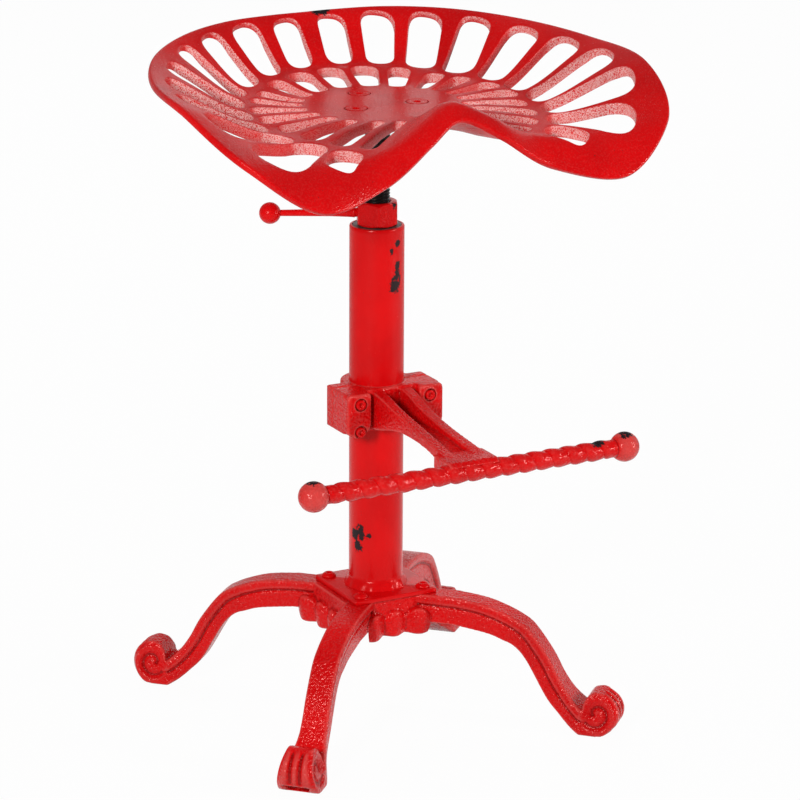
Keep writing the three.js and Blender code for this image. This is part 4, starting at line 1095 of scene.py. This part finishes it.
def hub_body():
    """Apron walls under the plate, four skirts and corner blocks, melted together and cut for the legs."""
    bodies = [block((-49, -39.5, LEG_TOP - 13), (49, 39.5, LEG_TOP))]
    for low, high in (
        ((-49, -39.5, LEG_TOP - 27), (49, -31, LEG_TOP - 5)),
        ((-49, 31, LEG_TOP - 27), (49, 39.5, LEG_TOP - 5)),
        ((-49, -39.5, LEG_TOP - 27), (-40, 39.5, LEG_TOP - 5)),
        ((40, -39.5, LEG_TOP - 27), (49, 39.5, LEG_TOP - 5)),
    ):
        bodies.append(block(low, high))
    for i, corner in enumerate(CORNERS):
        bodies.append(skirt(*SKIRTS[i % 2], corner - TURN / 8))
    melted = relaxed(cast(bodies, 0.95), 3)
    notches = []
    for corner in CORNERS:
        points, faces = block((LEG_ROOT, -11.2, 60), (130, 11.2, LEG_TOP + 5))
        notches.append((spun(points, corner), faces))
    return carved(melted, notches)


finish_piece("hub_skirted", *hub_body(), "stand", "cast_red", cast_red, ["hub_casting"], (), 50,
             painted_shading_reach=8)

# ---------------------------------------------------------------- footrest

ARM_TOP = np.array([
    (0, 0.97), (0.116, 0.907), (0.267, 0.767), (0.509, 0.628), (0.751, 0.512), (0.917, 0.43),
])
ARM_BOTTOM = np.array([
    (0.917, 0.06), (0.84, 0.22), (0.731, 0.302), (0.611, 0.349), (0.411, 0.37), (0.267, 0.326),
    (0.076, 0.153), (0, 0.116),
])


def arm_line(shares, steps):
    """A line of the arm's side view, from shares of its length and of the clamp's height."""
    start = CLAMP_FACE - CLAMP_WALL / 4
    places = np.stack([
        start + (BAR_FORWARD - start) * shares[:, 0],
        CLAMP_BOTTOM + (CLAMP_TOP - CLAMP_BOTTOM) * shares[:, 1],
    ], -1)
    return curve_through(places, steps)


def clamp_front_body():
    """The front half: a block with two pads, and an arm of two ribs and a floor out to the bar."""
    bodies = [block(
        (-CLAMP_HALF_WIDTH, -CLAMP_FACE, CLAMP_BOTTOM + 4), (CLAMP_HALF_WIDTH, -CLAMP_SPLIT, CLAMP_TOP)
    )]
    for side in (-1, 1):
        pad = rounded([
            (25, CLAMP_TOP), (CLAMP_HALF_WIDTH, CLAMP_TOP), (CLAMP_HALF_WIDTH, CLAMP_BOTTOM + 5.6),
            (39, CLAMP_BOTTOM), (32, CLAMP_BOTTOM + 2), (25, CLAMP_BOTTOM + 10.4),
        ], 4, 4, True)
        bodies.append(prism(pad * (side, 1), CLAMP_FACE - 2, CLAMP_PAD, "forward"))
        rib = np.vstack([arm_line(ARM_TOP, 40), arm_line(ARM_BOTTOM, 40)])
        near, far = sorted((side * (ARM_HALF_WIDTH - RIB_THICKNESS), side * ARM_HALF_WIDTH))
        bodies.append(prism(rib, near, far, "across"))
    under = arm_line(ARM_BOTTOM, 40)
    floor = np.vstack([under, (under + (0, 4))[::-1]])
    bodies.append(prism(floor, -ARM_HALF_WIDTH, ARM_HALF_WIDTH, "across"))
    saddle = [(158, 298.2), (187, 298.2), (192, 295), (186, 287.2), (184, 279.1), (168, 279.1), (158, 286)]
    bodies.append(prism(saddle, -25, 25, "across"))
    points, faces = cast(bodies, 0.9)
    # the arm is waisted between the clamp and the saddle
    waist = np.sin(math.pi * np.clip((-points[:, 1] - CLAMP_PAD) / (160 - CLAMP_PAD), 0, 1))
    points[:, 0] *= 1 - 0.14 * waist
    melted = relaxed((points, faces), 6)
    bore = turned([(CLAMP_BORE, 270), (CLAMP_BORE, 330)], 96)
    channel = turned([(BAR_RADIUS + 0.05, -30), (BAR_RADIUS + 0.05, 30)], 48)
    channel = laid(channel, (0, -BAR_FORWARD, BAR_HEIGHT), (1, 0, 0))
    cutters = [bore, channel]
    for x, z in BOLT_PLACES:
        drill = rounded([(BOLT_HOLE, 0), (BOLT_HOLE, 35), (BOLT_SINK, 35), (BOLT_SINK, 50)], 0.1, 1)
        cutters.append(laid(turned(drill, 40), (x, 0, z), (0, -1, 0)))
    return carved(melted, cutters)


def clamp_back_body():
    """The back half: a plate with a hump round the column."""
    hump = COLUMN_RADIUS + 0.3 + CLAMP_WALL
    start = math.asin(5 / hump)
    split = -(CLAMP_SPLIT - 0.6)
    outline = np.vstack([
        [(CLAMP_HALF_WIDTH, split), (CLAMP_HALF_WIDTH, 5)],
        arc(0, 0, hump, start, math.pi - start, 40),
        [(-CLAMP_HALF_WIDTH, 5), (-CLAMP_HALF_WIDTH, split)],
    ])
    melted = relaxed(cast([prism(outline, CLAMP_BOTTOM + 4, CLAMP_TOP, "up")], 0.9), 5)
    cutters = [turned([(CLAMP_BORE, 270), (CLAMP_BORE, 330)], 96)]
    for x, z in BOLT_PLACES:
        drill = rounded([(BOLT_HOLE, -20), (BOLT_HOLE, 5), (BOLT_SINK, 5), (BOLT_SINK, 50)], 0.1, 1)
        cutters.append(laid(turned(drill, 40), (x, 0, z), (0, 1, 0)))
    return carved(melted, cutters)


finish_piece("clamp_front_casting", *clamp_front_body(), "footrest", "cast_red", cast_red,
             ["footrest_clamp_front"], (), 50, painted_shading_reach=8)
finish_piece("clamp_back_casting", *clamp_back_body(), "footrest", "cast_red", cast_red,
             ["footrest_clamp_back"], (), 50, painted_shading_reach=8)
for i, (x, z) in enumerate(BOLT_PLACES):
    bolt = turned(socket_screw(4.8, 5, 2.4, 4, 2.8, 46, 0.97), 48)
    bolt = laid(bolt, (x, -35.3, z), (0, -1, 0))
    finish_piece(f"clamp_bolt_head_{i + 1}", *bolt, "footrest", "fastener_red", small_red,
                 [f"clamp_bolt_{i + 1}"])
    nut = hexagon_nut(10, 5.3, 10.3, 3.1, 0.5)
    nut = laid(nut, (x, 0, z), (0, 1, 0))
    finish_piece(f"clamp_nut_hexagon_{i + 1}", *nut, "footrest", "fastener_red", small_red,
                 [f"clamp_nut_{i + 1}"])


def twisted_bar():
    """A bar with one deep twist round it, swelling into a ball at each end.

    radius = valley + rise * sin(pi * turn) ** 0.55, turn = along / twist - angle / one turn."""
    around = 72
    neck = BAR_HALF_SPAN - math.sqrt(BAR_BALL ** 2 - BAR_NECK ** 2)
    middle = np.linspace(-neck, neck, 700)
    swell = np.linspace(math.asin(BAR_NECK / BAR_BALL), math.pi - 0.03, 26)
    cap = np.stack([BAR_HALF_SPAN - BAR_BALL * np.cos(swell), BAR_BALL * np.sin(swell)], -1)
    along = np.r_[-cap[::-1, 0], middle, cap[:, 0]]
    bound = np.r_[cap[::-1, 1], np.full(len(middle), 0.0), cap[:, 1]]
    angle = np.arange(around) * TURN / around
    turn = (middle[:, None] / BAR_TWIST - angle[None] / TURN) % 1
    rise = (BAR_RADIUS - BAR_VALLEY) * np.sin(math.pi * turn) ** 0.55
    # the crest leans towards the left end, as a rope's strand does
    lean = 0.35 * np.sin(TURN * turn)
    plain = ease(np.abs(middle), neck - 12, neck - 3)[:, None]
    twist = (BAR_VALLEY + rise + lean) * (1 - plain) + 8.2 * plain
    radius = np.repeat(bound[:, None], around, 1)
    radius[len(cap):len(cap) + len(middle)] = twist
    rows = np.stack([
        np.repeat(along[:, None], around, 1), radius * np.cos(angle) - BAR_FORWARD,
        radius * np.sin(angle) + BAR_HEIGHT,
    ], -1)
    return skin(rows)


bar_chips = [
    (-158, -185, BAR_HEIGHT + 13, 9, 6), (158, -187, BAR_HEIGHT + 13, 10, 8),
    (128, -185, BAR_HEIGHT + 8, 12, 5),
]
finish_piece("footrest_bar_twisted", *twisted_bar(), "footrest", "cast_red", bar_red, ["footrest_bar"],
             bar_chips, 70, painted_shading_reach=12)

# ---------------------------------------------------------------- studio

SOFT_LIGHT = 0.18
VIEW_TURN = math.radians(27.9)
VIEW_PITCH = 0.300552644
VIEW_ROLL = 0.00555062558
FOCAL_PIXELS = 3753.56773
IMAGE_PIXELS = 800
CAMERA_DISTANCE = 3.3344854
CAMERA_ASIDE = 0.0220281
CAMERA_HEIGHT = 1.33595867


def add_camera():
    """Stands the camera at the photograph's place and turns it as measured."""
    lens = bpy.data.cameras.new("photo_camera")
    lens.sensor_width = 36
    lens.lens = FOCAL_PIXELS / IMAGE_PIXELS * lens.sensor_width
    lens.clip_end = 100
    camera = bpy.data.objects.new("photo_camera", lens)
    bpy.context.scene.collection.objects.link(camera)
    camera.location = (
        CAMERA_ASIDE * math.cos(VIEW_TURN) - CAMERA_DISTANCE * math.sin(VIEW_TURN),
        AXIS_Y - CAMERA_ASIDE * math.sin(VIEW_TURN) - CAMERA_DISTANCE * math.cos(VIEW_TURN),
        CAMERA_HEIGHT,
    )
    camera.rotation_mode = "XYZ"
    look = (
        Matrix.Rotation(-VIEW_TURN, 3, "Z")
        @ Matrix.Rotation(math.pi / 2 - VIEW_PITCH, 3, "X")
        @ Matrix.Rotation(VIEW_ROLL, 3, "Z")
    )
    camera.rotation_euler = look.to_euler("XYZ")
    bpy.context.scene.camera = camera


def add_lamp(name, place, aim, size, power, mirrored=True):
    """A square soft lamp pointed at a place on the stool."""
    light = bpy.data.lights.new(name, "AREA")
    light.shape = "RECTANGLE"
    light.size, light.size_y = size
    light.energy = power
    lamp = bpy.data.objects.new(name, light)
    bpy.context.scene.collection.objects.link(lamp)
    lamp.visible_glossy = mirrored
    lamp.location = place
    lamp.rotation_euler = (Vector(aim) - Vector(place)).to_track_quat("-Z", "Y").to_euler()


def add_floor():
    """A pale floor that shows the camera mostly its own white and keeps the stool's shadow."""
    size = 40.0
    mesh = bpy.data.meshes.new("studio_floor")
    corners = [(-size, -size, 0), (size, -size, 0), (size, size, 0), (-size, size, 0)]
    mesh.from_pydata(corners, [], [(0, 1, 2, 3)])
    made = Nodes("studio_floor")
    where = made.add("ShaderNodeTexCoord").outputs["Object"]
    tone = made.mixed(made.noise(where, 900, 3), (0.72, 0.72, 0.72, 1), (0.68, 0.68, 0.68, 1))
    plain = made.add("ShaderNodeBsdfPrincipled", {"Base Color": tone, "Roughness": 0.7})
    glow = made.add("ShaderNodeEmission", {"Color": (1, 1, 1, 1), "Strength": 1.0})
    path = made.add("ShaderNodeLightPath")
    away = made.add("ShaderNodeVectorMath", {0: where}, operation="LENGTH").outputs["Value"]
    mirrored = made.maths("MULTIPLY", path.outputs["Is Glossy Ray"], made.between(away, 0.4, 1.1, 0.9, 0.2))
    seen = made.maths("MAXIMUM", path.outputs["Is Camera Ray"], mirrored)
    seen = made.maths("MAXIMUM", seen, path.outputs["Is Transmission Ray"])
    share = made.maths("MULTIPLY", seen, 0.97)
    both = made.add("ShaderNodeMixShader", {0: share, 1: plain.outputs["BSDF"], 2: glow.outputs[0]})
    made.add("ShaderNodeOutputMaterial", {"Surface": both.outputs[0]})
    mesh.materials.append(made.material)
    floor = bpy.data.objects.new("studio_floor", mesh)
    bpy.context.scene.collection.objects.link(floor)


def add_world():
    """White to the camera, a white backdrop and a dim ceiling in reflections, and soft even light."""
    world = bpy.data.worlds.new("studio")
    bpy.context.scene.world = world
    world.use_nodes = True
    made = Nodes("studio", world.node_tree)
    path = made.add("ShaderNodeLightPath")
    where = made.add("ShaderNodeTexCoord").outputs["Generated"]
    parts = made.add("ShaderNodeSeparateXYZ", {0: where}).outputs
    # the backdrop stands behind the stool and to the right: its light fades upwards, to the left
    # and towards the front
    behind = made.maths("MULTIPLY_ADD", parts["X"], math.sin(VIEW_TURN), 0)
    behind = made.maths("MULTIPLY_ADD", parts["Y"], math.cos(VIEW_TURN), behind)
    aside = made.maths("MULTIPLY_ADD", parts["X"], math.cos(VIEW_TURN), 0)
    aside = made.maths("MULTIPLY_ADD", parts["Y"], -math.sin(VIEW_TURN), aside)
    right = made.between(aside, -0.22, 0.0, 0.25, 1.0)
    back = made.maths("MULTIPLY", made.between(behind, -0.3, 0.4, 0.12, 1.0), right)
    low = made.between(parts["Z"], 0.22, 0.45, 0.9, 0.08)
    mirrored = made.maths("MULTIPLY", made.maths("MULTIPLY", back, low), path.outputs["Is Glossy Ray"])
    clear = made.maths("MAXIMUM", path.outputs["Is Camera Ray"], path.outputs["Is Transmission Ray"])
    strength = made.maths("MAXIMUM", made.maths("MAXIMUM", clear, mirrored), SOFT_LIGHT)
    background = made.add("ShaderNodeBackground", {"Color": (1, 1, 1, 1), "Strength": strength})
    made.add("ShaderNodeOutputWorld", {"Surface": background.outputs[0]})


add_camera()
add_floor()
add_world()
add_lamp("key_lamp", (-2.6, -2.0, 1.7), (0, 0, 0.35), (0.4, 0.8), 78)
add_lamp("side_lamp", (2.3, -2.0, 1.2), (0, 0, 0.35), (0.3, 0.9), 43)
add_lamp("back_lamp", (0.8, 2.6, 2.2), (0, 0, 0.4), (2.6, 2.2), 44, False)

bpy.context.scene.view_settings.view_transform = "Standard"
